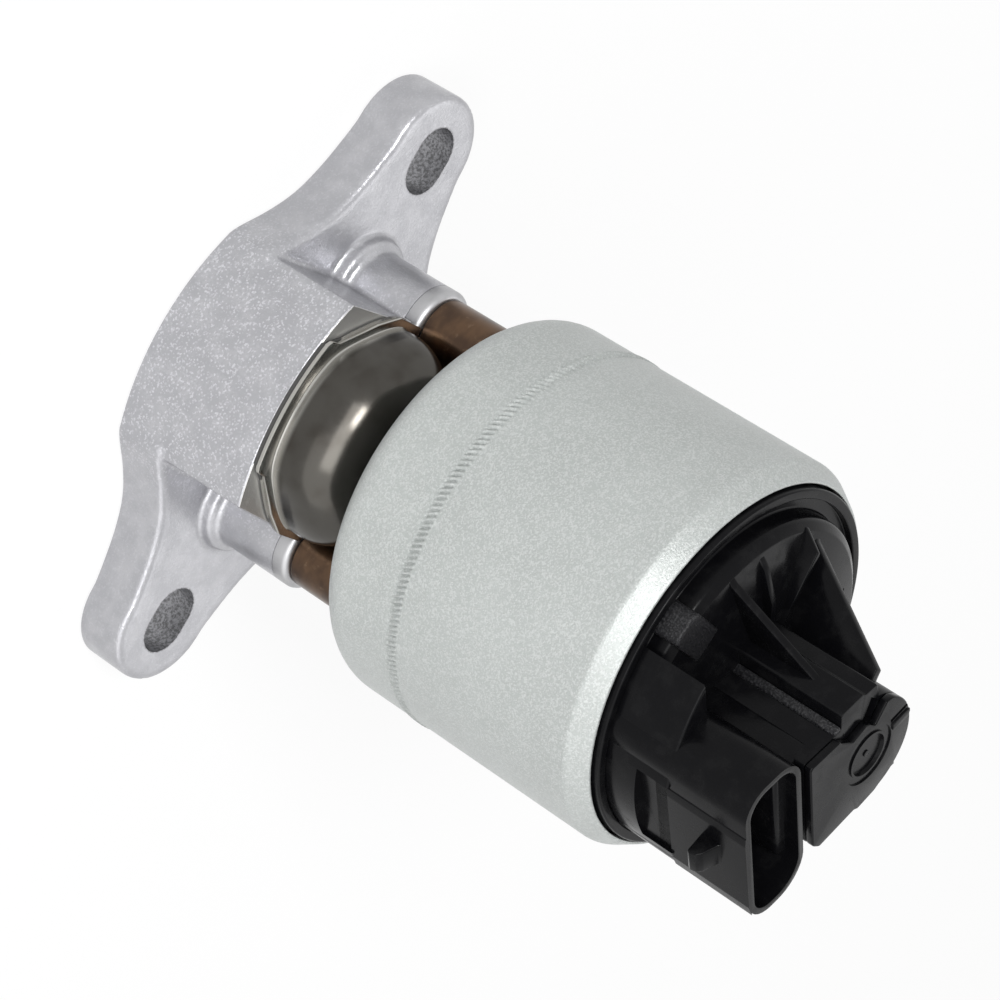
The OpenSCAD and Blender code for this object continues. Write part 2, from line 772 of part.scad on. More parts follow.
// a round-wire coil spring between two heights
module coil_spring(mean_r, wire_r, turns, z0, z1) {
  translate([0, 0, z0 + wire_r]) linear_extrude(height = z1 - z0 - 2 * wire_r, twist = -360 * turns,
    slices = 20 * turns, segments = 8, $fn = 8) translate([mean_r, 0]) circle(r = wire_r, $fn = 8);
  for (z = [z0 + wire_r, z1 - wire_r]) {
    translate([0, 0, z - wire_r * 0.8]) difference() {
      cylinder(r = mean_r + wire_r, h = wire_r * 1.6, $fn = 32);
      translate([0, 0, -1]) cylinder(r = mean_r - wire_r, h = 4, $fn = 32);
    }
  }
}

module return_spring() {
  color([0.62, 0.62, 0.62])
  coil_spring(spring_r, spring_wire_r, spring_turns, spring_low, spring_high);
}

module sensor_plunger() {
  color([0.75, 0.75, 0.73])
  union() {
    translate([0, 0, plunger_z + 1]) cylinder(r = plunger_r, h = wiper_z - plunger_z - 1);
    translate([0, 0, plunger_z]) cylinder(r1 = 1, r2 = plunger_r, h = 1);
  }
}

module wiper_carrier() {
  color([0.85, 0.83, 0.78])
  union() {
    translate([0, 0, wiper_z]) cylinder(r = wiper_r, h = wiper_h);
    translate([0, 0, wiper_z + wiper_h]) cylinder(r = 2, h = 2.4);
    cap_frame() translate([0, -1.6, wiper_z + 1]) cube([sensor_room_r + 0.7, 3.2, 2.4]);
  }
}

module sensor_spring() {
  color([0.66, 0.66, 0.66])
  coil_spring(sensor_spring_r, sensor_wire_r, sensor_turns, wiper_z + wiper_h, plug_z);
}

base_casting();
valve_seat();
shaft_bush();
shaft_seal();
bush_retainer();
shield_gasket();
heat_shield();
spacer_left();
spacer_right();
assembly_screws();
solenoid_can();
lower_pole_plate();
coil_bobbin();
coil_winding();
armature_sleeve();
wave_washer();
upper_pole_piece();
cap_seal();
sensor_cap();
sensor_cover();
resistor_board();
terminal_1();
terminal_2();
terminal_3();
terminal_4();
terminal_5();
coil_lead_1();
coil_lead_2();
pintle();
armature();
armature_nut();
return_spring();
sensor_plunger();
wiper_carrier();
sensor_spring();
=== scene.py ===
"""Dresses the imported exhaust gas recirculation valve: shapes, finishes, studio and camera.

Sizes inside the classes are in millimetres; a finished mesh is scaled to metres.
"""

import logging
import math
from dataclasses import dataclass, field
from enum import Enum
from typing import Callable, ClassVar, Optional, Sequence, Union

import bmesh
import bpy
from mathutils import Matrix, Vector

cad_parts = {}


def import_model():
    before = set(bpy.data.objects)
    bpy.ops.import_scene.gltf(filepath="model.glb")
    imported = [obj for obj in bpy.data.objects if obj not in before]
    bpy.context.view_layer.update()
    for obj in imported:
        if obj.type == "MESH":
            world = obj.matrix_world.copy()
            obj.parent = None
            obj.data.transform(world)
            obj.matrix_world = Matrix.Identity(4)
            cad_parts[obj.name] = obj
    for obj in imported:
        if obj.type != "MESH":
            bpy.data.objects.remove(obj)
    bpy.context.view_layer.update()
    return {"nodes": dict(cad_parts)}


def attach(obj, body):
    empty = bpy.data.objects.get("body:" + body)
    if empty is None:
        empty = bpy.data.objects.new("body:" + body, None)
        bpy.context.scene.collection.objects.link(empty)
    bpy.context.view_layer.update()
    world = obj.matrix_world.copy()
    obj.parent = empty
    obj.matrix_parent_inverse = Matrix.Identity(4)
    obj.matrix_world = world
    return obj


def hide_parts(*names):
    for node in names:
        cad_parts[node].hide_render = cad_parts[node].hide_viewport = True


MM = 0.001
NEAR = 0.1  # how far under a face its edges are still looked for
ON_AXIS = 1e-6  # a point nearer to the axis than this lies on it
DOUBLES = 1e-4  # points nearer to each other than this are merged
HALF_SIDE = 0.49  # share of a side that a rounded corner may take
SIDES = (-1, 1)
HOUSING = "housing"
log = logging.getLogger("valve")

# Sizes that several pieces and finishes share, in millimetres.
SLOT_X = 41.7  # distance of each bolt slot from the valve axis
SLOT_R = 4.4  # half width of a slot
SLOT_HALF = 1.4  # half length of a slot's straight part
POST_X = 19.9  # distance of each post and spacer from the valve axis
CASTING_TOP = 24.8
SHIELD_TOP = 26.2  # upper side of the shield's flange, where the spacers stand
CAN_LOW = 44.0
COVER_LOW = 121.7

Solid = bmesh.types.BMesh
Finish = bpy.types.Material
Point = tuple[float, float]
Corner = tuple[float, float, float]
Colour = tuple[float, float, float]


class Cut(Enum):
    """How one solid is applied to another."""

    AWAY = "DIFFERENCE"
    KEEP = "INTERSECT"
    JOIN = "UNION"


# ---- outlines and solids


def round_corners(corners: Sequence[Corner], closed: bool = True,
                  steps: int = 5) -> list[Point]:
    """Turns a chain of corners into a smooth outline.

    Args:
        corners: x, y and corner radius of each corner.
        closed: whether the last corner joins the first.
        steps: number of pieces in each rounded corner.

    Returns:
        The outline's points in order.
    """
    points: list[Point] = []
    count = len(corners)
    for i, (x, y, radius) in enumerate(corners):
        here = Vector((x, y))
        if radius <= 0 or (not closed and i in (0, count - 1)):
            points.append((x, y))
            continue
        before = Vector(corners[i - 1][:2]) - here
        after = Vector(corners[(i + 1) % count][:2]) - here
        half = before.angle(after) / 2
        reach = min(radius / math.tan(half), HALF_SIDE * before.length, HALF_SIDE * after.length)
        radius = reach * math.tan(half)
        before, after = before.normalized(), after.normalized()
        middle = here + (before + after).normalized() * (radius / math.sin(half))
        first = here + before * reach - middle
        last = here + after * reach - middle
        for k in range(steps + 1):
            turned = first.lerp(last, k / steps).normalized() * radius
            points.append(tuple(middle + turned))
    return points


def arc(x: float, y: float, radius: float, start: float, stop: float,
        steps: int) -> list[Point]:
    """Points along a circle's arc, with the angles in degrees."""
    angles = [math.radians(start + (stop - start) * k / steps) for k in range(steps + 1)]
    return [(x + radius * math.cos(a), y + radius * math.sin(a)) for a in angles]


def flow(points: Sequence[Point], steps: int = 6) -> list[Point]:
    """Points along a smooth curve through the given points.

    Args:
        points: the points that the curve passes.
        steps: number of pieces between two of them.

    Returns:
        The curve's points, with both ends.
    """
    chain = [points[0], *points, points[-1]]
    out: list[Point] = []
    for a, b, c, d in zip(chain, chain[1:], chain[2:], chain[3:]):
        for k in range(steps):
            t = k / steps
            out.append(tuple(
                0.5 * (2 * b[i] + (c[i] - a[i]) * t
                       + (2 * a[i] - 5 * b[i] + 4 * c[i] - d[i]) * t * t
                       + (3 * b[i] - a[i] - 3 * c[i] + d[i]) * t ** 3) for i in (0, 1)))
    out.append(points[-1])
    return out


def slab(outline: Sequence[Point], low: float, high: float) -> Solid:
    """A plate or prism standing on a flat outline.

    Args:
        outline: the outline's points in order.
        low: height of the underside.
        high: height of the top.

    Returns:
        The closed solid.
    """
    bm = bmesh.new()
    verts = [bm.verts.new((x, y, low)) for x, y in outline]
    floor = bm.faces.new(verts)
    raised = bmesh.ops.extrude_face_region(bm, geom=[floor], use_keep_orig=True)
    top = [v for v in raised["geom"] if isinstance(v, bmesh.types.BMVert)]
    bmesh.ops.translate(bm, verts=top, vec=(0, 0, high - low))
    bmesh.ops.recalc_face_normals(bm, faces=bm.faces)
    return bm


def turned(profile: Sequence[Point], steps: int = 128, closed: bool = True,
           doublings: int = 0) -> Solid:
    """A solid turned round the upright axis.

    Args:
        profile: radius and height of each point of the profile.
        steps: number of steps round the axis.
        closed: whether the profile's last point joins its first.
        doublings: how many times a spun sector is doubled to make the whole, for many steps.

    Returns:
        The turned solid.
    """
    bm = bmesh.new()
    verts = [bm.verts.new((r, 0, z)) for r, z in profile]
    pairs = zip(verts, verts[1:] + verts[:1] if closed else verts[1:])
    edges = [bm.edges.new(pair) for pair in pairs if max(pair[0].co.x, pair[1].co.x) >= ON_AXIS]
    sector = math.tau / 2 ** doublings
    bmesh.ops.spin(bm, geom=verts + edges, cent=(0, 0, 0), axis=(0, 0, 1), angle=sector,
                   steps=steps // 2 ** doublings, use_merge=doublings == 0)
    for k in range(doublings):
        copy = bmesh.ops.duplicate(bm, geom=bm.verts[:] + bm.edges[:] + bm.faces[:])
        added = [g for g in copy["geom"] if isinstance(g, bmesh.types.BMVert)]
        bmesh.ops.rotate(bm, verts=added, cent=(0, 0, 0),
                         matrix=Matrix.Rotation(sector * 2 ** k, 3, "Z"))
    bmesh.ops.remove_doubles(bm, verts=bm.verts, dist=DOUBLES)
    bmesh.ops.recalc_face_normals(bm, faces=bm.faces)
    return bm


def block(x0: float, x1: float, y0: float, y1: float, z0: float, z1: float) -> Solid:
    """A plain block between two corners, for shaping other pieces with."""
    bm = bmesh.new()
    bmesh.ops.create_cube(bm, size=1)
    bmesh.ops.scale(bm, verts=bm.verts, vec=(x1 - x0, y1 - y0, z1 - z0))
    bmesh.ops.translate(bm, verts=bm.verts, vec=((x0 + x1) / 2, (y0 + y1) / 2, (z0 + z1) / 2))
    return bm


def rod(radius: float, low: float, high: float, top_radius: Optional[float] = None,
        segments: int = 96) -> Solid:
    """A round rod or cone standing on the upright axis."""
    bm = bmesh.new()
    bmesh.ops.create_cone(bm, cap_ends=True, segments=segments, radius1=radius,
                          radius2=radius if top_radius is None else top_radius, depth=high - low)
    bmesh.ops.translate(bm, verts=bm.verts, vec=(0, 0, (low + high) / 2))
    return bm


def soften(bm: Solid, width: float, segments: int = 3, sharp: float = 30,
           where: Optional[Callable[[Vector], bool]] = None) -> Solid:
    """Rounds the sharp edges of a solid.

    Args:
        bm: the solid.
        width: width of the rounding.
        segments: number of strips in it.
        sharp: smallest angle between two faces that counts as an edge.
        where: a test of an edge's middle that picks the edges to round.

    Returns:
        The same solid.
    """
    bm.edges.ensure_lookup_table()
    limit = math.radians(sharp)
    picked = [e for e in bm.edges if len(e.link_faces) == 2 and e.calc_face_angle(0) > limit
              and (where is None or where((e.verts[0].co + e.verts[1].co) / 2))]
    bmesh.ops.bevel(bm, geom=picked, offset=width, offset_type="OFFSET", segments=segments,
                    profile=0.5, affect="EDGES", clamp_overlap=True, material=-1)
    bmesh.ops.recalc_face_normals(bm, faces=bm.faces)
    return bm


def moved(bm: Solid, x: float = 0, y: float = 0, z: float = 0) -> Solid:
    """Shifts a solid."""
    bmesh.ops.translate(bm, verts=bm.verts, vec=(x, y, z))
    return bm


def swung(bm: Solid, degrees: float, axis: str = "Z") -> Solid:
    """Turns a solid about one of the axes through the origin."""
    bmesh.ops.rotate(bm, verts=bm.verts, cent=(0, 0, 0),
                     matrix=Matrix.Rotation(math.radians(degrees), 3, axis))
    return bm


def together(*parts: Solid) -> Solid:
    """Puts several solids in one mesh, as they are."""
    whole = bmesh.new()
    for part in parts:
        holder = bpy.data.meshes.new("holder")
        part.to_mesh(holder)
        part.free()
        whole.from_mesh(holder)
        bpy.data.meshes.remove(holder)
    return whole


def piece(bm: Solid, name: str, scale: float = 1.0) -> bpy.types.Object:
    """Makes a mesh object of a solid and links it to the scene."""
    bmesh.ops.scale(bm, verts=bm.verts, vec=(scale, scale, scale))
    mesh = bpy.data.meshes.new(name)
    bm.to_mesh(mesh)
    bm.free()
    obj = bpy.data.objects.new(name, mesh)
    bpy.context.scene.collection.objects.link(obj)
    return obj


def settle(obj: bpy.types.Object) -> Solid:
    """Applies an object's modifiers, removes the object and returns its solid."""
    graph = bpy.context.evaluated_depsgraph_get()
    mesh = bpy.data.meshes.new_from_object(obj.evaluated_get(graph))
    bm = bmesh.new()
    bm.from_mesh(mesh)
    bpy.data.meshes.remove(mesh)
    bpy.data.objects.remove(obj)
    return bm


def shaped(bm: Solid, tool: Solid, how: Cut = Cut.AWAY) -> Solid:
    """Cuts one solid with another.

    Args:
        bm: the solid to work on.
        tool: the solid to work with.
        how: whether the tool is cut away, kept or joined.

    Returns:
        The new solid.
    """
    work, other = piece(bm, "work"), piece(tool, "tool")
    step = work.modifiers.new("cut", "BOOLEAN")
    step.object = other
    step.operation = how.value
    step.solver = "MANIFOLD"
    done = settle(work)
    bpy.data.objects.remove(other)
    return done


def cast(bm: Solid, grain: float, rounds: int) -> Solid:
    """Melts overlapping solids into one skin with soft edges and filled inner corners.

    Args:
        bm: the overlapping solids in one mesh.
        grain: cell size of the new skin.
        rounds: number of smoothing rounds.

    Returns:
        The new solid.
    """
    work = piece(bm, "work")
    step = work.modifiers.new("skin", "REMESH")
    step.mode = "VOXEL"
    step.voxel_size = grain
    skin = settle(work)
    for _ in range(rounds):
        bmesh.ops.smooth_vert(skin, verts=skin.verts, factor=0.5, use_axis_x=True,
                              use_axis_y=True, use_axis_z=True)
    return skin


def finished(bm: Solid, name: str, material: Finish,
             replaces: Sequence[str], sharp: float) -> None:
    """Turns a solid in millimetres into a finished piece of the housing.

    Args:
        bm: the solid.
        name: the piece's name.
        material: its finish.
        replaces: the nodes it stands for.
        sharp: angle above which an edge is shaded sharp.
    """
    obj = piece(bm, name, MM)
    obj.data.polygons.foreach_set("use_smooth", [True] * len(obj.data.polygons))
    obj.data.set_sharp_from_angle(angle=math.radians(sharp))
    obj.data.materials.append(material)
    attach(obj, HOUSING)
    if replaces:
        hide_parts(*replaces)
    log.info("made %s: %d faces", name, len(obj.data.polygons))


# ---- shader tools

Value = Union["Wire", float]


class Wire:
    """A shader node's output that can be used in arithmetic."""

    def __init__(self, paint: "Paint", socket: bpy.types.NodeSocket) -> None:
        """Keeps the socket and the paint it belongs to."""
        self.paint = paint
        self.socket = socket

    def _math(self, operation: str, first: Value, second: Value = 0.0) -> "Wire":
        """Adds one Math node."""
        return self.paint.node("ShaderNodeMath", {"operation": operation}, {0: first, 1: second})

    def __add__(self, other: Value) -> "Wire":
        """Sum."""
        return self._math("ADD", self, other)

    __radd__ = __add__

    def __mul__(self, other: Value) -> "Wire":
        """Product."""
        return self._math("MULTIPLY", self, other)

    __rmul__ = __mul__

    def __sub__(self, other: Value) -> "Wire":
        """Difference."""
        return self._math("SUBTRACT", self, other)

    def __rsub__(self, other: Value) -> "Wire":
        """Difference, with the wire on the right."""
        return self._math("SUBTRACT", other, self)

    def size(self) -> "Wire":
        """Size without the sign."""
        return self._math("ABSOLUTE", self)

    def least(self, floor: float) -> "Wire":
        """The value, but never under the given one."""
        return self._math("MAXIMUM", self, floor)

    def step(self, low: float, high: float) -> "Wire":
        """Rises smoothly from 0 at low to 1 at high."""
        return self.paint.node(
            "ShaderNodeMapRange", {"interpolation_type": "SMOOTHSTEP", "clamp": True},
            {"Value": self, "From Min": low, "From Max": high, "To Min": 0.0, "To Max": 1.0})


class Paint:
    """A material built from shader nodes around one surface shader."""

    def __init__(self, name: str) -> None:
        """Starts an empty material with a surface shader."""
        self.material = bpy.data.materials.new(name)
        self.material.use_nodes = True
        self.tree = self.material.node_tree
        self.tree.nodes.clear()
        self.output = self.tree.nodes.new("ShaderNodeOutputMaterial")
        self.surface = self.tree.nodes.new("ShaderNodeBsdfPrincipled")
        self.tree.links.new(self.surface.outputs[0], self.output.inputs["Surface"])

    @classmethod
    def on(cls, tree: bpy.types.NodeTree) -> "Paint":
        """Works on a node tree that exists already, such as a world's."""
        paint = cls.__new__(cls)
        paint.tree = tree
        return paint

    def seen(self) -> Wire:
        """One where the camera, a mirror or clear matter looks, zero for light that falls."""
        kinds = ("Is Camera Ray", "Is Glossy Ray", "Is Transmission Ray")
        rays = [self.node("ShaderNodeLightPath", {}, {}, kind) for kind in kinds]
        return rays[0] + rays[1] + rays[2]

    def feed(self, socket: bpy.types.NodeSocket, value: object) -> None:
        """Links a wire to a socket, or sets the socket's value."""
        if isinstance(value, Wire):
            self.tree.links.new(value.socket, socket)
        elif isinstance(value, (tuple, list)) and socket.type == "RGBA":
            socket.default_value = (*value[:3], 1.0)
        else:
            socket.default_value = value

    def node(self, kind: str, settings: dict[str, object], inputs: dict[Union[int, str], object],
             output: Union[int, str] = 0) -> Wire:
        """Adds one node.

        Args:
            kind: the node's type.
            settings: its properties, set first.
            inputs: values or wires of its sockets, by name or number.
            output: the output to return, by name or number.

        Returns:
            The output as a wire.
        """
        node = self.tree.nodes.new(kind)
        for key, value in settings.items():
            setattr(node, key, value)
        for key, value in inputs.items():
            self.feed(node.inputs[key], value)
        return Wire(self, node.outputs[output])

    def place(self, stretch: Sequence[float] = (1, 1, 1)) -> Wire:
        """The place on the piece in millimetres, stretched as asked."""
        here = self.node("ShaderNodeTexCoord", {}, {}, "Object")
        return self.node("ShaderNodeMapping", {},
                         {"Vector": here, "Scale": [1000 * s for s in stretch]})

    def along(self, axis: str) -> Wire:
        """The place along one axis in millimetres."""
        return self.node("ShaderNodeSeparateXYZ", {}, {0: self.place()}, axis)

    def noise(self, size: float, detail: float = 3, rough: float = 0.5,
              vector: Optional[Wire] = None) -> Wire:
        """Soft noise with features of the given size in millimetres."""
        return self.node("ShaderNodeTexNoise", {}, {
            "Vector": vector or self.place(), "Scale": 1 / size, "Detail": detail,
            "Roughness": rough})

    def flakes(self, size: float) -> Wire:
        """A random value for each small cell of the surface."""
        colour = self.node("ShaderNodeTexVoronoi", {"feature": "F1"}, {
            "Vector": self.place(), "Scale": 1 / size}, "Color")
        return self.node("ShaderNodeSeparateColor", {}, {0: colour}, 0)

    def blend(self, factor: Value, first: Union[Wire, Colour],
              second: Union[Wire, Colour]) -> Wire:
        """Mixes two colours."""
        factor_in, first_in, second_in, colour_out = 0, 6, 7, 2
        return self.node("ShaderNodeMix", {"data_type": "RGBA"},
                         {factor_in: factor, first_in: first, second_in: second}, colour_out)

    def bump(self, height: Wire, depth: float, strength: float) -> Wire:
        """Turns a height into surface relief of the given depth in millimetres."""
        return self.node("ShaderNodeBump", {}, {
            "Height": height, "Strength": strength, "Distance": depth * MM})

    def done(self, **sockets: object) -> Finish:
        """Sets the surface shader's sockets, named with underscores, and returns the material."""
        for key, value in sockets.items():
            socket = key.replace("_", " ").title().replace("Ior", "IOR")
            self.feed(self.surface.inputs[socket], value)
        return self.material


# ---- finishes


@dataclass(frozen=True)
class CastSilver:
    """Blasted silver casting: a sparkling body with painted glints, slots with painted shade inside
    and a machined top face that is also painted lighter as a highlight.
    """

    colour: Colour = (0.455, 0.455, 0.475)
    deep: Colour = (0.395, 0.395, 0.415)
    # painted glint: the colour of the bright specks that stand for sparkling highlights
    glint: Colour = (0.80, 0.80, 0.84)
    # painted shade: the dark colour of the recessed inner walls of the bolt slots
    raw: Colour = (0.17, 0.17, 0.175)
    # partly painted highlight: the machined top face's own lighter metal, made lighter still as if
    # lit
    machined: Colour = (0.48, 0.475, 0.46)
    slot_x: float = SLOT_X
    slot_half: float = SLOT_HALF
    slot_r: float = SLOT_R
    top: float = CASTING_TOP

    def paint(self) -> Finish:
        """Builds the material."""
        p = Paint("cast_silver")
        # body: where the painted glints and darker specks are strongest, weaker on the ears
        body = 1 - p.along("X").size().step(15, 25)
        cloud = p.noise(3.4, 4).step(0.35, 0.68)
        sand = p.noise(0.42, 3, 0.6)
        flake = p.flakes(0.27)
        # painted glints: bright specks in the glint colour
        painted_highlight = flake.step(0.7, 1.0) * (0.1 + body * 0.34)
        dull = (1 - flake.step(0.0, 0.4)) * (0.2 + body * 0.5)
        pits = p.noise(1.3, 2).step(0.68, 0.74)
        base = p.blend(cloud, self.deep, self.colour)
        base = p.blend(dull + pits * 0.3, base, self.deep)
        base = p.blend(painted_highlight, base, self.glint)
        # painted shade inside the bolt slots: their walls take the dark slot colour, as shade in a
        # recess
        aside = ((p.along("X").size() - self.slot_x).size() - self.slot_half).least(0)
        from_slot = aside * aside + p.along("Y") * p.along("Y")
        slot = 1 - from_slot.step((self.slot_r + 0.05) ** 2, (self.slot_r + 0.3) ** 2)
        base = p.blend(slot, base, p.blend(sand.step(0.35, 0.65), self.raw, self.deep))
        # partly painted highlight: the machined top face is painted lighter than the body
        base = p.blend(p.along("Z").step(self.top - 0.12, self.top - 0.04), base, self.machined)
        return p.done(base_color=base, metallic=0.75, roughness=0.31 - painted_highlight * 0.08 + dull * 0.08,
                      normal=p.bump(sand + flake * 0.4 - pits * 0.5, 0.09, 0.55))


@dataclass(frozen=True)
class SatinZinc:
    """Pale satin plating of the can, with a fine sparkle."""

    colour: Colour = (0.405, 0.426, 0.416)
    shade: Colour = (0.38, 0.40, 0.39)
    glint: Colour = (0.57, 0.59, 0.58)

    def paint(self) -> Finish:
        """Builds the material."""
        p = Paint("satin_zinc")
        cloud = p.noise(12.0, 3).step(0.3, 0.7)
        fine = p.noise(0.24, 2, 0.6)
        flake = p.flakes(0.22)
        base = p.blend(cloud, self.shade, self.colour)
        base = p.blend(flake.step(0.3, 1.0) * 0.6, base, self.glint)
        return p.done(base_color=base, metallic=0.35, roughness=0.34 + flake * 0.1,
                      normal=p.bump(fine + flake * 0.9, 0.08, 0.85))


@dataclass(frozen=True)
class DarkStainless:
    """Smooth stainless sheet of the shield: dark partly from heat and partly as a painted dark
    reflection, brown beside the spacers, with a painted highlight on the flange and the bowl's
    foot.
    """

    # partly painted shade: the sheet's own heat-darkened tone, darkened further as a painted dark
    # reflection
    colour: Colour = (0.078, 0.074, 0.067)
    stain: Colour = (0.052, 0.047, 0.041)
    tint: Colour = (0.30, 0.15, 0.065)
    # painted highlight: the pale colour of the flange and the bowl's foot, as their lit edge
    painted_highlight: Colour = (0.42, 0.41, 0.385)
    post_x: float = POST_X
    near_r: float = 50 ** 0.5
    far_r: float = 125 ** 0.5
    foot_z: float = 26.4
    wall_z: float = 28.0

    def paint(self) -> Finish:
        """Builds the material."""
        p = Paint("dark_stainless")
        stain = p.noise(6.0, 3).step(0.42, 0.75)
        draw = p.noise(0.5, 2, 0.5, p.place((1, 1, 0.08)))
        aside = p.along("X").size() - self.post_x
        from_post = aside * aside + p.along("Y") * p.along("Y")
        near = 1 - from_post.step(self.near_r ** 2, self.far_r ** 2)
        base = p.blend(stain * 0.8, self.colour, self.stain)
        base = p.blend(near * (0.2 + stain * 0.3), base, self.tint)
        # painted highlight: the flange and the bowl's foot are lighter, fading out up the wall
        base = p.blend(1 - p.along("Z").step(self.foot_z, self.wall_z), base, self.painted_highlight)
        return p.done(base_color=base, metallic=1.0, roughness=0.14 + draw * 0.1,
                      normal=p.bump(draw, 0.012, 0.35))


@dataclass(frozen=True)
class CopperBrown:
    """Brown copper plating of the spacer tubes, tinted by heat."""

    colour: Colour = (0.125, 0.075, 0.045)
    dark: Colour = (0.07, 0.044, 0.03)
    pale: Colour = (0.23, 0.155, 0.1)

    def paint(self) -> Finish:
        """Builds the material."""
        p = Paint("copper_brown")
        band = p.noise(3.5, 3, 0.5, p.place((0.6, 0.6, 1.0))).step(0.35, 0.68)
        worn = p.noise(1.6, 4, 0.6).step(0.58, 0.75)
        turned_lines = p.noise(0.22, 2, 0.5, p.place((0.04, 0.04, 1.0)))
        base = p.blend(band, self.dark, self.colour)
        base = p.blend(worn * 0.5, base, self.pale)
        return p.done(base_color=base, metallic=0.9, roughness=0.3 + worn * 0.12,
                      normal=p.bump(turned_lines, 0.015, 0.5))


class Skin(Enum):
    """Surface of a black moulded face."""

    SMOOTH = "smooth"
    GRAINED = "grained"


@dataclass(frozen=True)
class BlackMoulding:
    """Black glass-filled plastic of the cap."""

    skin: Skin = Skin.SMOOTH
    colour: Colour = (0.003, 0.003, 0.0036)
    worn: Colour = (0.007, 0.007, 0.0075)
    pit: Colour = (0.004, 0.004, 0.005)
    peak: Colour = (0.035, 0.035, 0.037)

    def paint(self) -> Finish:
        """Builds the material."""
        p = Paint("black_moulding_" + self.skin.value)
        if self.skin is Skin.GRAINED:
            grain = p.noise(0.3, 3, 0.7)
            base = p.blend(grain.step(0.4, 0.7), self.pit, self.peak)
            return p.done(base_color=base, roughness=0.3, specular_ior_level=0.2,
                          normal=p.bump(grain, 0.12, 0.9))
        cloud = p.noise(3.0, 4, 0.6).step(0.45, 0.72)
        fine = p.noise(0.45, 3, 0.6)
        base = p.blend(cloud * 0.6, self.colour, self.worn)
        return p.done(base_color=base, roughness=0.2 + cloud * 0.14, specular_ior_level=0.09,
                      normal=p.bump(fine, 0.02, 0.4))


@dataclass(frozen=True)
class PlainMetal:
    """A machined, plated or drawn metal that is mostly out of sight."""

    name: str
    colour: Colour
    rough: float = 0.35

    def paint(self) -> Finish:
        """Builds the material."""
        p = Paint(self.name)
        lines = p.noise(0.3, 2, 0.5, p.place((0.1, 0.1, 1.0)))
        cloud = p.noise(4.0, 3).step(0.3, 0.7)
        dull: Colour = tuple(0.82 * c for c in self.colour)
        return p.done(base_color=p.blend(cloud, dull, self.colour), metallic=1.0,
                      roughness=self.rough + cloud * 0.06, normal=p.bump(lines, 0.01, 0.4))


@dataclass(frozen=True)
class PlainMould:
    """A plastic, rubber or sheet material that is mostly out of sight."""

    name: str
    colour: Colour
    rough: float = 0.5

    def paint(self) -> Finish:
        """Builds the material."""
        p = Paint(self.name)
        cloud = p.noise(2.5, 4).step(0.35, 0.7)
        dull: Colour = tuple(0.8 * c for c in self.colour)
        return p.done(base_color=p.blend(cloud, dull, self.colour),
                      roughness=self.rough + cloud * 0.08,
                      normal=p.bump(p.noise(0.3, 3), 0.02, 0.4))


# ---- the valve's sub-assemblies


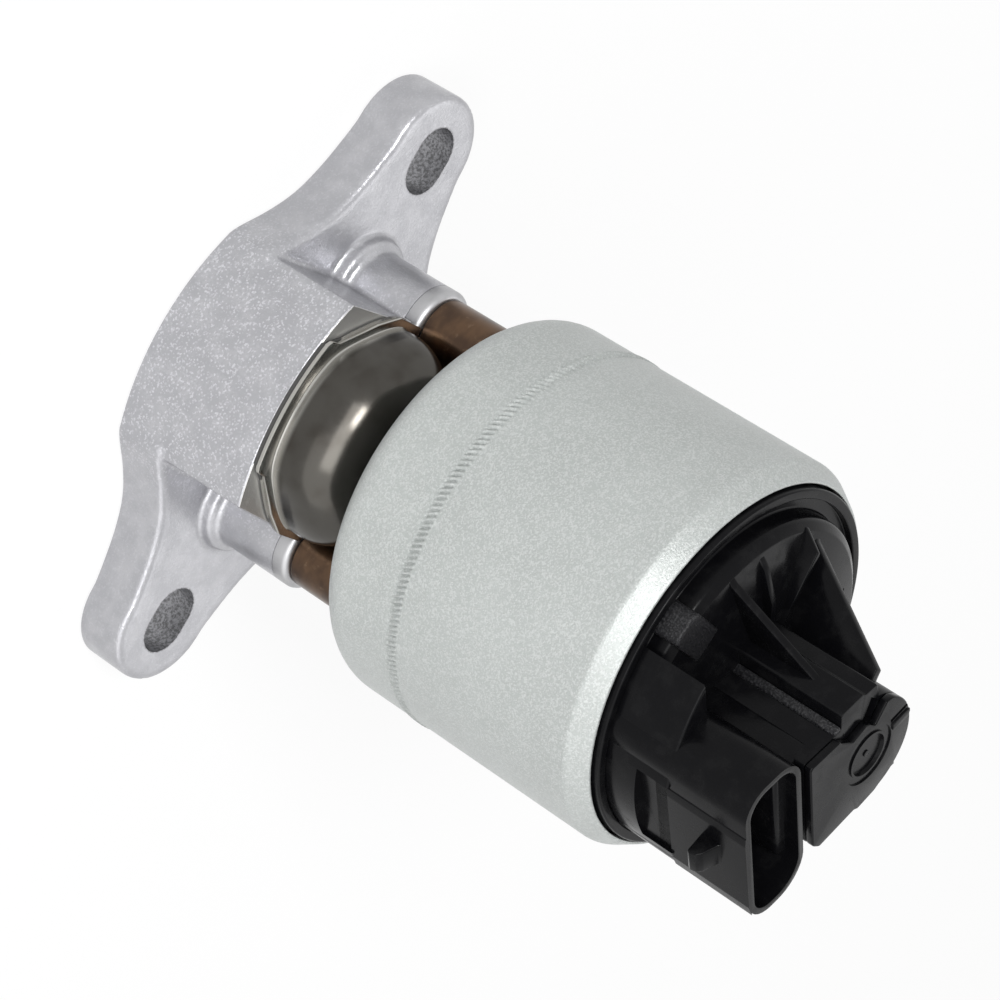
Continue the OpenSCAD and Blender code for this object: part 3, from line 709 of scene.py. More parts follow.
@dataclass
class BaseCasting:
    """The flange with its two slotted ears, the bowed body and the two posts.

    Attributes:
        slot_x: distance of each slot from the valve axis.
        slot_r: half width of a slot.
        slot_half: half length of a slot's straight part.
        ear_t: thickness of the ears.
        ear_round: width of the rounding of their upper edges.
        tip_r: radius of the ear tips.
        tip_out: how far a tip's centre lies outside the slot's.
        half_depth: reach of the flange to the front and the back.
        height: height of the machined top face.
        bow_r: radius of the bowed walls.
        bow_middle: distance of a bow's centre from the axis, on the far side of it.
        bow_half: half width of a bowed wall.
        bow_steps: number of pieces in a bowed wall.
        bow_y: every wall corner farther out than this belongs to a bow.
        side_x: distance of the flat side walls from the axis.
        side_half: half width of a side wall.
        draft: share by which the bowed walls draw in for each millimetre of height.
        edge_share: share by which the broken upper edge draws in.
        edge_drop: how far that edge runs down.
        post_x: distance of each post from the valve axis.
        post_r: radius of a post.
        shoulder: height of the shoulder near a post's end.
        pad_r: radius of the pad at a post's foot.
        pad_top: height of the pad.
        screw_r: radius of a screw's hole.
        screw_low: height of its end.
        seat_r: radius of the seat's bore.
        seat_top: height of the seat's upper face.
        throat_r: radius of the throat above it.
        throat_top: height of the throat's end.
        chamber_r: radius of the gas chamber.
        chamber_top: height of its roof.
        bush_r: radius of the bush's bore.
        port_r: radius of the outlet port.
        port_y: place of the outlet port.
        spare: how far the raw solids run past the faces that they are trimmed to.
        under: a height below the casting, where a cut starts.
        over: a height above it, where a cut ends.
        grain: cell size of the blended skin.
    """

    slot_x: float = SLOT_X
    slot_r: float = SLOT_R
    slot_half: float = SLOT_HALF
    ear_t: float = 8.7
    ear_round: float = 1.7
    tip_r: float = 10.2
    tip_out: float = 0.9
    half_depth: float = 25.0
    height: float = CASTING_TOP
    bow_r: float = 40.0
    bow_middle: float = 11.2
    bow_half: float = 17.5
    bow_steps: int = 24
    bow_y: float = 20.0
    side_x: float = 18.6
    side_half: float = 8.0
    draft: float = 0.00334
    edge_share: float = 0.052
    edge_drop: float = 0.4
    post_x: float = POST_X
    post_r: float = 6.5
    shoulder: float = 23.3
    pad_r: float = 8.1
    pad_top: float = 10.9
    screw_r: float = 2.5
    screw_low: float = 8.0
    seat_r: float = 10.4
    seat_top: float = 6.6
    throat_r: float = 9.4
    throat_top: float = 9.0
    chamber_r: float = 11.4
    chamber_top: float = 17.6
    bush_r: float = 7.5
    port_r: float = 6.6
    port_y: float = -18.0
    spare: float = 2.0
    under: float = -3.0
    over: float = 30.0
    grain: float = 0.46

    def ear_outline(self) -> list[Point]:
        """The whole flange seen from above."""
        side = flow([(17.0, -self.half_depth), (18.9, -23.3), (22.8, -19.0), (27.2, -15.3),
                     (32.4, -12.8), (37.6, -11.2), (self.slot_x, -self.tip_r)], 5)
        tip = arc(self.slot_x + self.tip_out, 0, self.tip_r, -90, 0, 14)
        quarter = [(0.0, -self.half_depth), *side, *tip]
        right = quarter[:-1] + [(x, -y) for x, y in reversed(quarter)]
        return right[:-1] + [(-x, y) for x, y in reversed(right)][:-1]

    def ears(self) -> Solid:
        """The flange plate with rounded upper edges."""
        plate = slab(self.ear_outline(), -self.spare, self.ear_t)
        return soften(plate, self.ear_round, 5, 40, lambda m: m.z > self.ear_t - NEAR)

    def body(self) -> Solid:
        """The bowed block between the ears, with drafted walls."""
        across = [-self.bow_half + 2 * self.bow_half * k / self.bow_steps
                  for k in range(self.bow_steps + 1)]
        front = [(x, self.bow_middle - math.sqrt(self.bow_r ** 2 - x * x)) for x in across]
        side = [(self.side_x, -self.side_half), (self.side_x, self.side_half)]
        outline = front + side + [(-x, -y) for x, y in front] + [(-x, -y) for x, y in side]
        wall = slab(outline, -self.spare, self.height + self.spare)
        for v in wall.verts:
            if abs(v.co.y) > self.bow_y:
                v.co.y *= 1 - self.draft * max(v.co.z, 0)
        return wall

    def posts(self) -> list[Solid]:
        """The two posts, each with a flared foot."""
        top = self.height + self.spare
        profile = round_corners([
            (0, -1, 0), (self.pad_r, -1, 0), (self.pad_r, self.pad_top, 0.7),
            (self.post_r, self.pad_top + 0.2, 0.6), (self.post_r, top, 0),
            (0, top, 0)], closed=False)
        return [moved(turned(profile, 64, closed=False), side * self.post_x) for side in SIDES]

    def slot_tool(self) -> Solid:
        """The shape that one slot removes."""
        outline = (arc(self.slot_half, 0, self.slot_r, -90, 90, 20)
                   + arc(-self.slot_half, 0, self.slot_r, 90, 270, 20))
        return slab(outline, self.under, self.ear_t + 3)

    def layer(self, low: float, high: float) -> Solid:
        """A block between two heights that is wider than the casting."""
        return block(-60, 60, -40, 40, low, high)

    def edge_tool(self) -> Solid:
        """The shape that breaks the upper edge of the body."""
        inner = self.body()
        top = self.height + self.spare
        for v in inner.verts:
            if v.co.z > 0:
                v.co.x *= 1 - self.edge_share
                v.co.y *= 1 - self.edge_share
        lower = [v for v in inner.verts if v.co.z < 0]
        rise = self.height - self.edge_drop + self.spare
        bmesh.ops.translate(inner, verts=lower, vec=(0, 0, rise))
        for v in inner.verts:
            if v.co.z < top - NEAR and abs(v.co.y) > self.bow_y:
                v.co.y *= 1 - self.draft * self.height
        around = shaped(self.layer(self.height - 0.3, top - 0.5), inner)
        for side in SIDES:
            spared = rod(self.post_r + 0.4, self.height - 2, top + 1)
            around = shaped(around, moved(spared, side * self.post_x))
        return around

    def bore(self) -> Solid:
        """The seat's bore, the throat, the gas chamber and the bush's bore."""
        return turned([
            (0, self.under), (self.seat_r, self.under), (self.seat_r, self.seat_top),
            (self.throat_r, self.seat_top), (self.throat_r, self.throat_top),
            (self.chamber_r, self.throat_top), (self.chamber_r, self.chamber_top),
            (self.bush_r, self.chamber_top), (self.bush_r, self.over), (0, self.over)],
            96, closed=False)

    def build(self, metal: Finish) -> None:
        """Makes the casting."""
        skin = cast(together(self.ears(), self.body(), *self.posts()), self.grain, 4)
        skin = shaped(skin, self.layer(0, self.height), Cut.KEEP)
        skin = shaped(skin, self.edge_tool())
        inner, outer = self.post_r - 0.9, self.post_r + 0.3
        for side in SIDES:
            skin = shaped(skin, moved(self.slot_tool(), side * self.slot_x))
            collar = turned([(inner, self.shoulder), (outer, self.shoulder),
                             (outer, self.over), (inner, self.over)], 64)
            skin = shaped(skin, moved(collar, side * self.post_x))
            screw = rod(self.screw_r, self.screw_low, self.over, segments=32)
            skin = shaped(skin, moved(screw, side * self.post_x))
        skin = shaped(skin, self.bore())
        skin = shaped(skin, moved(rod(self.port_r, self.under, self.chamber_top), 0, self.port_y))
        skin = shaped(skin, block(-self.port_r, self.port_r, self.port_y, -8,
                                  self.throat_top, self.chamber_top))
        finished(skin, "casting_skin", metal, ["base_casting"], 38)


@dataclass
class HeatShield:
    """The stamped bowl, its flat flange and the collars turned down over the posts.

    Attributes:
        EDGE: corners of the flange's cut side edge, from the front to the middle.
        WALL: corners of a quarter of the bowl's wall, seen from above.
        plate_low: height of the flange's underside.
        plate_high: height of the flange's upper side.
        bow_r: radius of the flange's long edges.
        bow_half: half width of those edges.
        reach: distance of those edges from the axis at their middle.
        wall_r: radius of the bowl's wall.
        foot_out: radius of the rounded foot that runs out on the flange.
        foot_steps: number of rows in that foot.
        wall_z: height where the bowl starts to draw in.
        top: height of the bowl's flat top.
        draw_in: how far the bowl draws in.
        bowl_steps: number of rows in the drawn-in part.
        evening: how far the wall's corners are evened out at the foot, in steps.
        evening_rise: how much more they are at the top.
        scallop_r: radius of the hollow round each spacer.
        post_x: distance of each spacer from the axis.
        hole_r: radius of the hole for the pintle.
        collar_low: height of a collar's lower end.
        collar_in: inner radius of a collar's skirt.
        collar_r: outer radius of a collar.
        collar_hole: radius of the hole in a collar's roof.
        sheet: thickness of the sheet.
        steps: number of steps round the bowl.
    """

    EDGE: ClassVar[tuple[Corner, ...]] = (
        (11.3, -24.6, 0.5), (11.5, -22.8, 0.8), (15.0, -18.0, 3), (16.6, -15.9, 3),
        (19.0, -11.5, 1.5))
    WALL: ClassVar[tuple[Point, ...]] = (
        (8.4, 30.0), (9.7, 22.8), (10.6, 21.7), (14.2, 16.9), (15.6, 15.1), (17.8, 10.8),
        (18.4, 7.5), (18.4, 0.0))

    plate_low: float = 25.4
    plate_high: float = SHIELD_TOP
    bow_r: float = 38.0
    bow_half: float = 10.5
    reach: float = 26.6
    wall_r: float = 24.5
    foot_out: float = 1.0
    foot_steps: int = 6
    wall_z: float = 28.6
    top: float = 38.8
    draw_in: float = 10.8
    bowl_steps: int = 24
    evening: float = 4.2
    evening_rise: float = 3.0
    scallop_r: float = 7.1
    post_x: float = POST_X
    hole_r: float = 3.9
    collar_low: float = 23.3
    collar_in: float = 5.6
    collar_r: float = 6.5
    collar_hole: float = 3.0
    sheet: float = 0.6
    steps: int = 288

    def plate_outline(self) -> list[Point]:
        """The flange's cut edge."""
        middle = self.bow_r - self.reach
        across = [self.bow_half * (k / 10 - 1) for k in range(21)]
        front = [(x, middle - math.sqrt(self.bow_r ** 2 - x * x)) for x in across]
        back_edge = [(x, -y, radius) for x, y, radius in reversed(self.EDGE)]
        chain = [(*front[-1], 0), *self.EDGE, *back_edge, (self.bow_half, 25.0, 0)]
        side = round_corners(chain, closed=False)[1:-1]
        return front + side + [(-x, -y) for x, y in front] + [(-x, -y) for x, y in side]

    def wall_radius(self, angle: float) -> float:
        """Distance from the axis to the bowl's wall in one direction, before smoothing."""
        x, y = abs(math.cos(angle)), abs(math.sin(angle))
        reach = self.wall_r
        for (ax, ay), (bx, by) in zip(self.WALL, self.WALL[1:]):
            away_x, away_y = ay - by, bx - ax
            toward = x * away_x + y * away_y
            if toward > 0:
                distance = (ax * away_x + ay * away_y) / toward
                if by <= distance * y <= ay:
                    reach = min(reach, distance)
        inside = self.scallop_r ** 2 - (self.post_x * y) ** 2
        if inside > 0:
            reach = min(reach, self.post_x * x - math.sqrt(inside))
        return reach

    def smoothed(self, ring: Sequence[float], spread: float) -> list[float]:
        """Evens out a ring of radii with a bell of the given spread, in steps."""
        reach = int(3 * spread)
        offsets = range(-reach, reach + 1)
        weights = [math.exp(-0.5 * (j / spread) ** 2) for j in offsets]
        total = sum(weights)
        return [sum(w * ring[(k + j) % self.steps] for w, j in zip(weights, offsets)) / total
                for k in range(self.steps)]

    def rows(self) -> list[tuple[float, float, float]]:
        """The bowl's profile: run beyond the wall, height and share of the drawing-in."""
        low = self.plate_low + 0.3
        rows = [(self.foot_out + 0.5, low, 0.0)]
        for k in range(self.foot_steps + 1):
            turn = math.pi / 2 * k / self.foot_steps
            rows.append((self.foot_out * (1 - math.sin(turn)),
                         low + self.foot_out * (1 - math.cos(turn)), 0.0))
        for k in range(1, self.bowl_steps + 1):
            turn = math.pi / 2 * k / self.bowl_steps
            rise = (self.top - self.wall_z) * math.sin(turn)
            rows.append((0.0, self.wall_z + rise, 1 - math.cos(turn)))
        return rows

    def bowl(self) -> Solid:
        """The bowl's sheet, drawn to the wall's outline and thickened."""
        raw = [self.wall_radius(math.tau * k / self.steps) for k in range(self.steps)]
        rows = self.rows()
        rings = [self.smoothed(raw, self.evening + self.evening_rise * inward)
                 for _, _, inward in rows]
        # Each row is turned at a radius that stands for its number, and is then drawn in.
        outermost = 100.0
        profile = [(outermost - k, z) for k, (_, z, _) in enumerate(rows)]
        bm = turned(profile + [(self.hole_r, self.top)], self.steps, closed=False)
        for v in bm.verts:
            radius = math.hypot(v.co.x, v.co.y)
            row = round(outermost - radius)
            if row >= len(rows):
                continue
            out, _, inward = rows[row]
            step = round(math.atan2(v.co.y, v.co.x) / math.tau * self.steps) % self.steps
            wall = rings[row][step]
            depth = self.draw_in * min(1.0, (wall - self.hole_r - 0.5) / self.draw_in)
            scale = (wall + out - depth * inward) / radius
            v.co.x *= scale
            v.co.y *= scale
        highest = max(bm.faces, key=lambda f: f.calc_center_median().z)
        bmesh.ops.recalc_face_normals(bm, faces=bm.faces)
        if highest.normal.z < 0:
            bmesh.ops.reverse_faces(bm, faces=bm.faces)
        bmesh.ops.solidify(bm, geom=bm.faces[:], thickness=self.sheet)
        bmesh.ops.recalc_face_normals(bm, faces=bm.faces)
        return bm

    def flange(self) -> Solid:
        """The flat flange with a thin rolled edge."""
        return soften(slab(self.plate_outline(), self.plate_low, self.plate_high), 0.22, 2, 50)

    def collar(self, side: int) -> Solid:
        """One collar over a post, with its rounded lip round the spacer."""
        profile = round_corners([
            (self.collar_in, self.collar_low, 0), (self.collar_r, self.collar_low, 0.15),
            (self.collar_r, self.plate_high, 1.0), (self.collar_hole, self.plate_high, 0),
            (self.collar_hole, self.plate_low, 0), (self.collar_in, self.plate_low, 0)])
        return moved(turned(profile, 72), side * self.post_x)

    def build(self, metal: Finish, collar_metal: Finish) -> None:
        """Makes the shield."""
        finished(together(self.bowl(), self.flange()), "shield_sheet", metal,
                 ["heat_shield"], 40)
        finished(together(*(self.collar(side) for side in SIDES)), "shield_collars", collar_metal,
                 (), 40)


@dataclass
class Spacers:
    """The two tubes between the shield and the can.

    Attributes:
        radius: outer radius.
        bore: inner radius.
        low: height of the lower end.
        high: height of the upper end.
        post_x: distance from the valve axis.
    """

    radius: float = 5.5
    bore: float = 2.8
    low: float = SHIELD_TOP
    high: float = CAN_LOW
    post_x: float = POST_X

    def build(self, metal: Finish) -> None:
        """Makes both tubes."""
        profile = round_corners([(self.bore, self.low, 0.2), (self.radius, self.low, 0.5),
                                 (self.radius, self.high, 0.3), (self.bore, self.high, 0.2)])
        for side, node in zip(SIDES, ("spacer_left", "spacer_right")):
            finished(moved(turned(profile, 72), side * self.post_x), node + "_tube", metal,
                     [node], 50)


@dataclass
class SolenoidCan:
    """The drawn can with its rounded foot, its tick marks and its shoulder rolled in as a cone.

    Attributes:
        radius: outer radius.
        low: height of the underside.
        high: height of the rim.
        wall: sheet thickness.
        hole_r: radius of the hole round the valve axis.
        foot_r: radius of the rounded foot.
        bend_z: height where the shoulder starts to roll in.
        lip_r: inner radius of the rim.
        tick_low: height where the tick marks start.
        tick_high: height where they end.
        tick_rows: number of rows of faces over their height.
        ticks: number of tick marks round the can.
        tick_steps: number of faces across one tick mark.
        tick_depth: depth of a tick mark.
        tick_lift: share of that depth by which the metal between them stands up.
        tick_power: how narrow a tick mark is.
        tick_run: share of its half length over which it runs out.
        skew: how many ticks a mark leans over its own half length.
    """

    radius: float = 32.0
    low: float = CAN_LOW
    high: float = 97.0
    wall: float = 1.2
    hole_r: float = 4.5
    foot_r: float = 6.0
    bend_z: float = 93.8
    lip_r: float = 29.6
    tick_low: float = 59.2
    tick_high: float = 61.2
    tick_rows: int = 8
    ticks: int = 208
    tick_steps: int = 6
    tick_depth: float = 0.5
    tick_lift: float = 0.4
    tick_power: float = 1.6
    tick_run: float = 0.35
    skew: float = 0.55

    def profile(self) -> list[Point]:
        """The can's wall, as a closed profile from the axis hole out, up, in and down again."""
        r, w = self.radius, self.wall
        tall = self.tick_high - self.tick_low
        band = [(r, self.tick_low + tall * k / self.tick_rows)
                for k in range(-1, self.tick_rows + 2)]
        outer = round_corners([(self.hole_r, self.low, 0), (r, self.low, self.foot_r),
                               (r, self.tick_low - 3, 0)], closed=False, steps=12)
        lip = round_corners([
            (r, self.bend_z - 4, 0), (r, self.bend_z, 2.0), (self.lip_r + 0.4, self.high, 0.3),
            (self.lip_r, self.high, 0.15), (self.lip_r, self.high - 1.4, 0.1),
            (self.lip_r + 0.6, self.high - 1.6, 0), (r - w, self.bend_z - 0.4, 1.0),
            (r - w, self.low + w, self.foot_r - w), (self.hole_r, self.low + w, 0)],
            closed=False, steps=7)
        return outer + band + lip

    def press_ticks(self, bm: Solid) -> None:
        """Presses the slanting tick marks into the band."""
        middle = (self.tick_low + self.tick_high) / 2
        half = (self.tick_high - self.tick_low) / 2
        for v in bm.verts:
            z, radius = v.co.z, math.hypot(v.co.x, v.co.y)
            if abs(z - middle) > half or radius < self.radius - 0.3:
                continue
            lean = self.skew * (z - middle) / half
            turn = math.atan2(v.co.y, v.co.x) / math.tau * self.ticks + lean
            wave = (0.5 + 0.5 * math.cos(math.tau * turn)) ** self.tick_power
            ends = min(1.0, (half - abs(z - middle)) / (self.tick_run * half))
            k = 1 - self.tick_depth * (wave - self.tick_lift) * ends / radius
            v.co.x *= k
            v.co.y *= k

    def build(self, metal: Finish) -> None:
        """Makes the can."""
        bm = turned(self.profile(), self.ticks * self.tick_steps, doublings=4)
        self.press_ticks(bm)
        finished(bm, "can_shell", metal, ["solenoid_can"], 45)


@dataclass
class SensorCap:
    """The moulded cap: deck, drum, connector shroud, tower, ribs and nose.

    The first axis of its own frame points out to the connector.

    Attributes:
        FAR_SIDE: the tower's corners on the connector's side, which the cover shares.
        BLOCK_SIDE: the tower's corners beside the shroud's near end.
        RIBS: bearing, upper edge and thickness of each rib that stands on both sides.
        angle: angle of the connector about the valve axis.
        under: height of the deck's underside, in the can.
        deck: height of the deck inside the rim.
        deck_r: radius of the deck.
        groove_r: outer radius of the deck's groove.
        groove: depth of that groove.
        disc_top: height of the raised disc.
        hub_r: radius of the disc's flat middle.
        hub: height of that middle above the disc.
        drum_r: radius of the drum.
        drum_chord: distance of the drum's flat side from the axis.
        drum_top: height of the drum.
        notch_in: distance of the drum's notch from the axis.
        notch_half: half length of the notch.
        notch_low: height of the notch's floor.
        notch_high: height of its roof.
        cover: height of the joint between tower and cover.
        tower_r: radius of the tower's round side.
        bridge_half: half length of the bridge between tower and shroud.
        shroud_out: distance of the shroud's outer face from the axis.
        shroud_in: distance of its inner face.
        shroud_half: distance of the shroud's near end from the middle.
        shroud_far: distance of its far end.
        shroud_r: radius of the shroud's corners.
        shroud_low_r: radius of its far inner corner.
        shroud_wall: wall thickness of the shroud.
        shroud_top: height of the shroud's mouth.
        socket: height of the socket's floor.
        open_z: a height above the cap, where a cut ends.
    """

    FAR_SIDE: ClassVar[tuple[Corner, ...]] = (
        (12.6, -9.2, 0.7), (12.6, 8.6, 1.6), (11.2, 10.0, 0.8), (3.4, 9.5, 0.6), (2.6, 10.0, 0.5),
        (-1.2, 9.6, 2.0))
    BLOCK_SIDE: ClassVar[tuple[Corner, ...]] = (
        (-3.9, -11.2, 0.5), (-1.2, -11.4, 0.4), (-0.6, -12.0, 0.4), (4.2, -12.0, 0.5),
        (4.4, -8.9, 0.6))
    RIBS: ClassVar[tuple[tuple[float, tuple[Point, ...], float], ...]] = (
        (84.5, ((24.0, 100.8), (23.2, 101.3), (9.9, 117.4)), 1.3),
        (100, ((23.5, 100.8), (21.8, 102.1), (16.5, 104.0)), 1.2),
        (135, ((23.2, 100.8), (22.6, 101.2), (11.2, 118.6)), 1.7))

    angle: float = -36.0
    under: float = 91.2
    deck: float = 98.0
    deck_r: float = 29.2
    groove_r: float = 27.6
    groove: float = 1.2
    disc_top: float = 100.8
    hub_r: float = 10.0
    hub: float = 2.8
    drum_r: float = 27.6
    drum_chord: float = 17.4
    drum_top: float = 109.0
    notch_in: float = 23.4
    notch_half: float = 7.6
    notch_low: float = 103.3
    notch_high: float = 106.2
    cover: float = COVER_LOW
    tower_r: float = 9.4
    bridge_half: float = 9.2
    shroud_out: float = 26.0
    shroud_in: float = 14.2
    shroud_half: float = 14.3
    shroud_far: float = 13.4
    shroud_r: float = 4.6
    shroud_low_r: float = 7.5
    shroud_wall: float = 1.05
    shroud_top: float = 122.6
    socket: float = 108.0
    open_z: float = 130.0

    def tower_outline(self) -> list[Point]:
        """The sensor tower seen from above."""
        round_side = [(x, y, 0.0) for x, y in arc(0, 0, self.tower_r, 104, 244, 24)]
        return round_corners([*self.FAR_SIDE, *round_side, *self.BLOCK_SIDE], steps=4)

    def rib(self, bearing: float, slope: Sequence[Point], thick: float) -> Solid:
        """A radial rib standing on the deck.

        Args:
            bearing: the rib's direction from the axis in degrees.
            slope: radius and height of each corner of its upper edge, from the outside in.
            thick: its thickness.

        Returns:
            The rib.
        """
        inner = 5.0
        top = slope[-1][1] + 0.3
        outline = [(inner, self.deck), (slope[0][0], self.deck), *slope, (inner, top)]
        plate = soften(slab(outline, -thick / 2, thick / 2), 0.22, 2, 20)
        return swung(swung(plate, 90, "X"), bearing)

    def ledge(self, side: int) -> Solid:
        """The thin low wall that runs past the tower, on one side of it."""
        run, top, thick = 15.0, 104.0, 0.9
        outline = [(0.0, self.deck), (run, self.deck), (run, 100.6), (12.6, top), (0.0, top)]
        plate = soften(slab(outline, -thick / 2, thick / 2), 0.2, 2, 20)
        return moved(swung(swung(plate, 90, "X"), side * 135), -3.9, side * 9.2)

    def deck_disc(self) -> Solid:
        """The deck with its groove and the raised disc."""
        low, inner = self.deck - self.groove, self.groove_r - 2.0
        profile = round_corners([
            (0, self.under, 0), (self.deck_r, self.under, 0.3), (self.deck_r, self.deck, 0.35),
            (self.groove_r, self.deck, 0.3), (self.groove_r, low, 0.2), (inner, low, 0.4),
            (25.4, self.disc_top - 1.0, 1.2), (24.0, self.disc_top, 0.9),
            (self.hub_r, self.disc_top + self.hub, 0), (0, self.disc_top + self.hub, 0)],
            closed=False, steps=5)
        return turned(profile, 160, closed=False)

    def drum(self) -> Solid:
        """The drum under the connector, notched across its latch side."""
        half = math.degrees(math.acos(self.drum_chord / self.drum_r))
        body = slab(arc(0, 0, self.drum_r, -half, half, 48), self.deck - 2, self.drum_top)
        body = soften(body, 0.7, 4, 50, lambda m: m.z > self.drum_top - NEAR)
        for inner, top in ((self.notch_in, self.notch_high), (self.shroud_out, self.drum_top + 3)):
            body = shaped(body, block(inner, 40, -self.notch_half, self.notch_half,
                                      self.notch_low, top))
        return body

    def shroud(self) -> Solid:
        """The connector shroud with its open socket and the raised panel on its outer face."""
        a, b, r, w = self.shroud_in, self.shroud_out, self.shroud_r, self.shroud_wall
        near, far, low = -self.shroud_half, self.shroud_far, self.shroud_low_r
        outline = round_corners([(a, near, r), (b, near, r), (b, far, r), (a, far, low)], steps=9)
        hollow = round_corners([(a + w, near + w, r - w), (b - w, near + w, r - w),
                                (b - w, far - w, r - w), (a + w, far - w, low - w)], steps=9)
        panel = round_corners([(b - 0.4, -7.3, 0), (b + 0.12, -7.0, 0.15), (b + 0.3, -5.5, 2.0),
                               (b + 0.2, far - 4.6, 1.0), (b - 0.4, far - 2.2, 0)])
        body = slab(outline, self.deck - 1, self.shroud_top)
        body = shaped(body, slab(panel, self.socket + 0.5, self.shroud_top), Cut.JOIN)
        body = shaped(body, slab(hollow, self.socket, self.open_z))
        return soften(body, 0.25, 3, 50, lambda m: m.z > self.shroud_top - NEAR / 2)

    def latch(self) -> Solid:
        """The latch ledge on the shroud's outer face."""
        half = 2.1
        ledge = round_corners([
            (-0.6, 114.5, 0), (3.7, 114.9, 0.3), (3.95, 115.4, 0.3), (3.7, 116.4, 0.4),
            (2.9, 117.0, 0.5), (0.6, 117.8, 0.4), (-0.6, 118.6, 0)], steps=3)
        return moved(swung(soften(slab(ledge, -half, half), 0.25, 3, 60), 90, "X"), self.shroud_out)

    def connector(self) -> Solid:
        """The shroud with its latch ledge."""
        return together(self.shroud(), self.latch())

    def tower(self) -> Solid:
        """The sensor tower with the pocket beside the cover, and the bridge to the shroud."""
        body = soften(slab(self.tower_outline(), self.deck, self.cover), 0.3, 2, 40,
                      lambda m: m.z > self.cover - 0.3)
        pocket = slab([(-2.34, -9.76), (-0.42, -6.46), (-1.56, -5.13), (-4.05, -7.69)],
                      self.cover - 2.6, self.open_z)
        bridge = soften(block(9, 17, -self.bridge_half, self.bridge_half, self.deck,
                              self.cover - 1.6), 0.9, 4)
        return together(shaped(body, pocket), bridge)

    def ribs(self) -> Solid:
        """All the ribs and the two ledges."""
        ribs = [self.rib(180, ((22.0, 100.9), (21.3, 101.5), (10.4, 109.7)), 1.5)]
        for side in SIDES:
            ribs += [self.rib(side * bearing, slope, thick) for bearing, slope, thick in self.RIBS]
            ribs.append(self.ledge(side))
        return together(*ribs)

    def nose(self) -> Solid:
        """The blunt nose on the deck beside the drum."""
        inner, outer, half = 19, 27.8, 2.8
        outline = round_corners([(inner, -half, 0.5), (outer, -half, 1.6), (outer, half, 1.6),
                                 (inner, half, 0.5)])
        return swung(soften(slab(outline, self.deck - 1, self.deck + 4), 1.1, 5, 50), -61.5)

    def strip(self) -> Solid:
        """The grained strip up the tower's side."""
        outline = [(4.6, -9.9), (5.9, -9.3), (5.9, -8.6), (4.2, -8.6)]
        return soften(slab(outline, self.deck + 2, self.cover), 0.25, 2)

    def build(self, smooth: Finish, grained: Finish) -> None:
        """Makes the cap's pieces."""
        finished(self.deck_disc(), "cap_deck", smooth, ["sensor_cap"], 50)
        shapes = (("cap_drum", self.drum, smooth), ("cap_shroud", self.connector, smooth),
                  ("cap_tower", self.tower, smooth), ("cap_ribs", self.ribs, smooth),
                  ("cap_nose", self.nose, grained), ("cap_strip", self.strip, grained))
        for name, shape, material in shapes:
            finished(swung(shape(), self.angle), name, material, (), 40)

@dataclass
class SensorCover:
    """The flat cover on the tower, with its ring-shaped recesses, groove and ridge.

    Attributes:
        NEAR_SIDE: the cover's corners beside the tower's pocket.
        low: height of the joint with the tower.
        face: height of the cover's face.
        high: height of the ridge on it.
        ring_in: inner radius of the shallow ring.
        ring_out: its outer radius, at the floor.
        dish_r: radius of the dish in the middle.
        mark_r: radius of the gate mark in it.
        plug_r: radius of the plug that reaches into the tower.
        cap: the cap that it closes.
    """

    NEAR_SIDE: ClassVar[tuple[Corner, ...]] = (
        (-4.3, -7.9, 0.5), (-1.56, -5.13, 0.4), (-0.42, -6.46, 0.4), (0.5, -7.0, 0.4),
        (3.4, -6.2, 0.6), (5.6, -8.2, 0.6), (6.1, -9.0, 0.4))

    low: float = COVER_LOW
    face: float = 123.0
    high: float = 123.3
    ring_in: float = 3.9
    ring_out: float = 5.0
    dish_r: float = 3.3
    mark_r: float = 0.55
    plug_r: float = 6.0
    cap: SensorCap = field(default_factory=SensorCap)

    def outline(self) -> list[Point]:
        """The cover seen from above."""
        tower = [(x, y, 0.0) for x, y in arc(0, 0, self.cap.tower_r, 104, 233, 24)]
        return round_corners([*self.cap.FAR_SIDE, *tower, *self.NEAR_SIDE], steps=4)

    def plate(self) -> Solid:
        """The cover's plate with its two recesses and its groove."""
        face, above = self.face, self.face + 1
        ring = turned([(self.ring_in, face - 0.25), (self.ring_out, face - 0.25),
                       (self.ring_out + 0.3, above), (self.ring_in, above)], 64)
        groove = moved(swung(block(-2.6, 1.4, -0.35, 0.35, face - 0.5, above), 4), -6.4, -2.8)
        dish = rod(self.dish_r, face - 0.55, face + 0.1, self.dish_r + 0.25, 64)
        plate = soften(slab(self.outline(), self.low, face), 0.28, 3, 40)
        for tool in (ring, dish, groove):
            plate = shaped(plate, tool)
        return plate

    def build(self, smooth: Finish) -> None:
        """Makes the cover."""
        ridge = soften(block(-9.0, -5.2, -2.0, -0.5, self.low + 0.2, self.high), 0.25, 2)
        mark = soften(rod(self.mark_r, self.face - 0.7, self.face - 0.35, segments=24), 0.08, 2)
        low, high = self.low + 0.1, self.face - 0.2
        tabs = [soften(block(-9.7, -8.6, -1.0, -0.2, low, high), 0.12, 2),
                soften(block(-6.0, -4.8, 7.3, 8.2, low, high), 0.12, 2)]
        plug = rod(self.plug_r, self.low - 1.2, self.low + 0.5)
        whole = together(self.plate(), ridge, mark, plug, *tabs)
        finished(swung(whole, self.cap.angle), "cover_plate", smooth, ["sensor_cover"], 40)


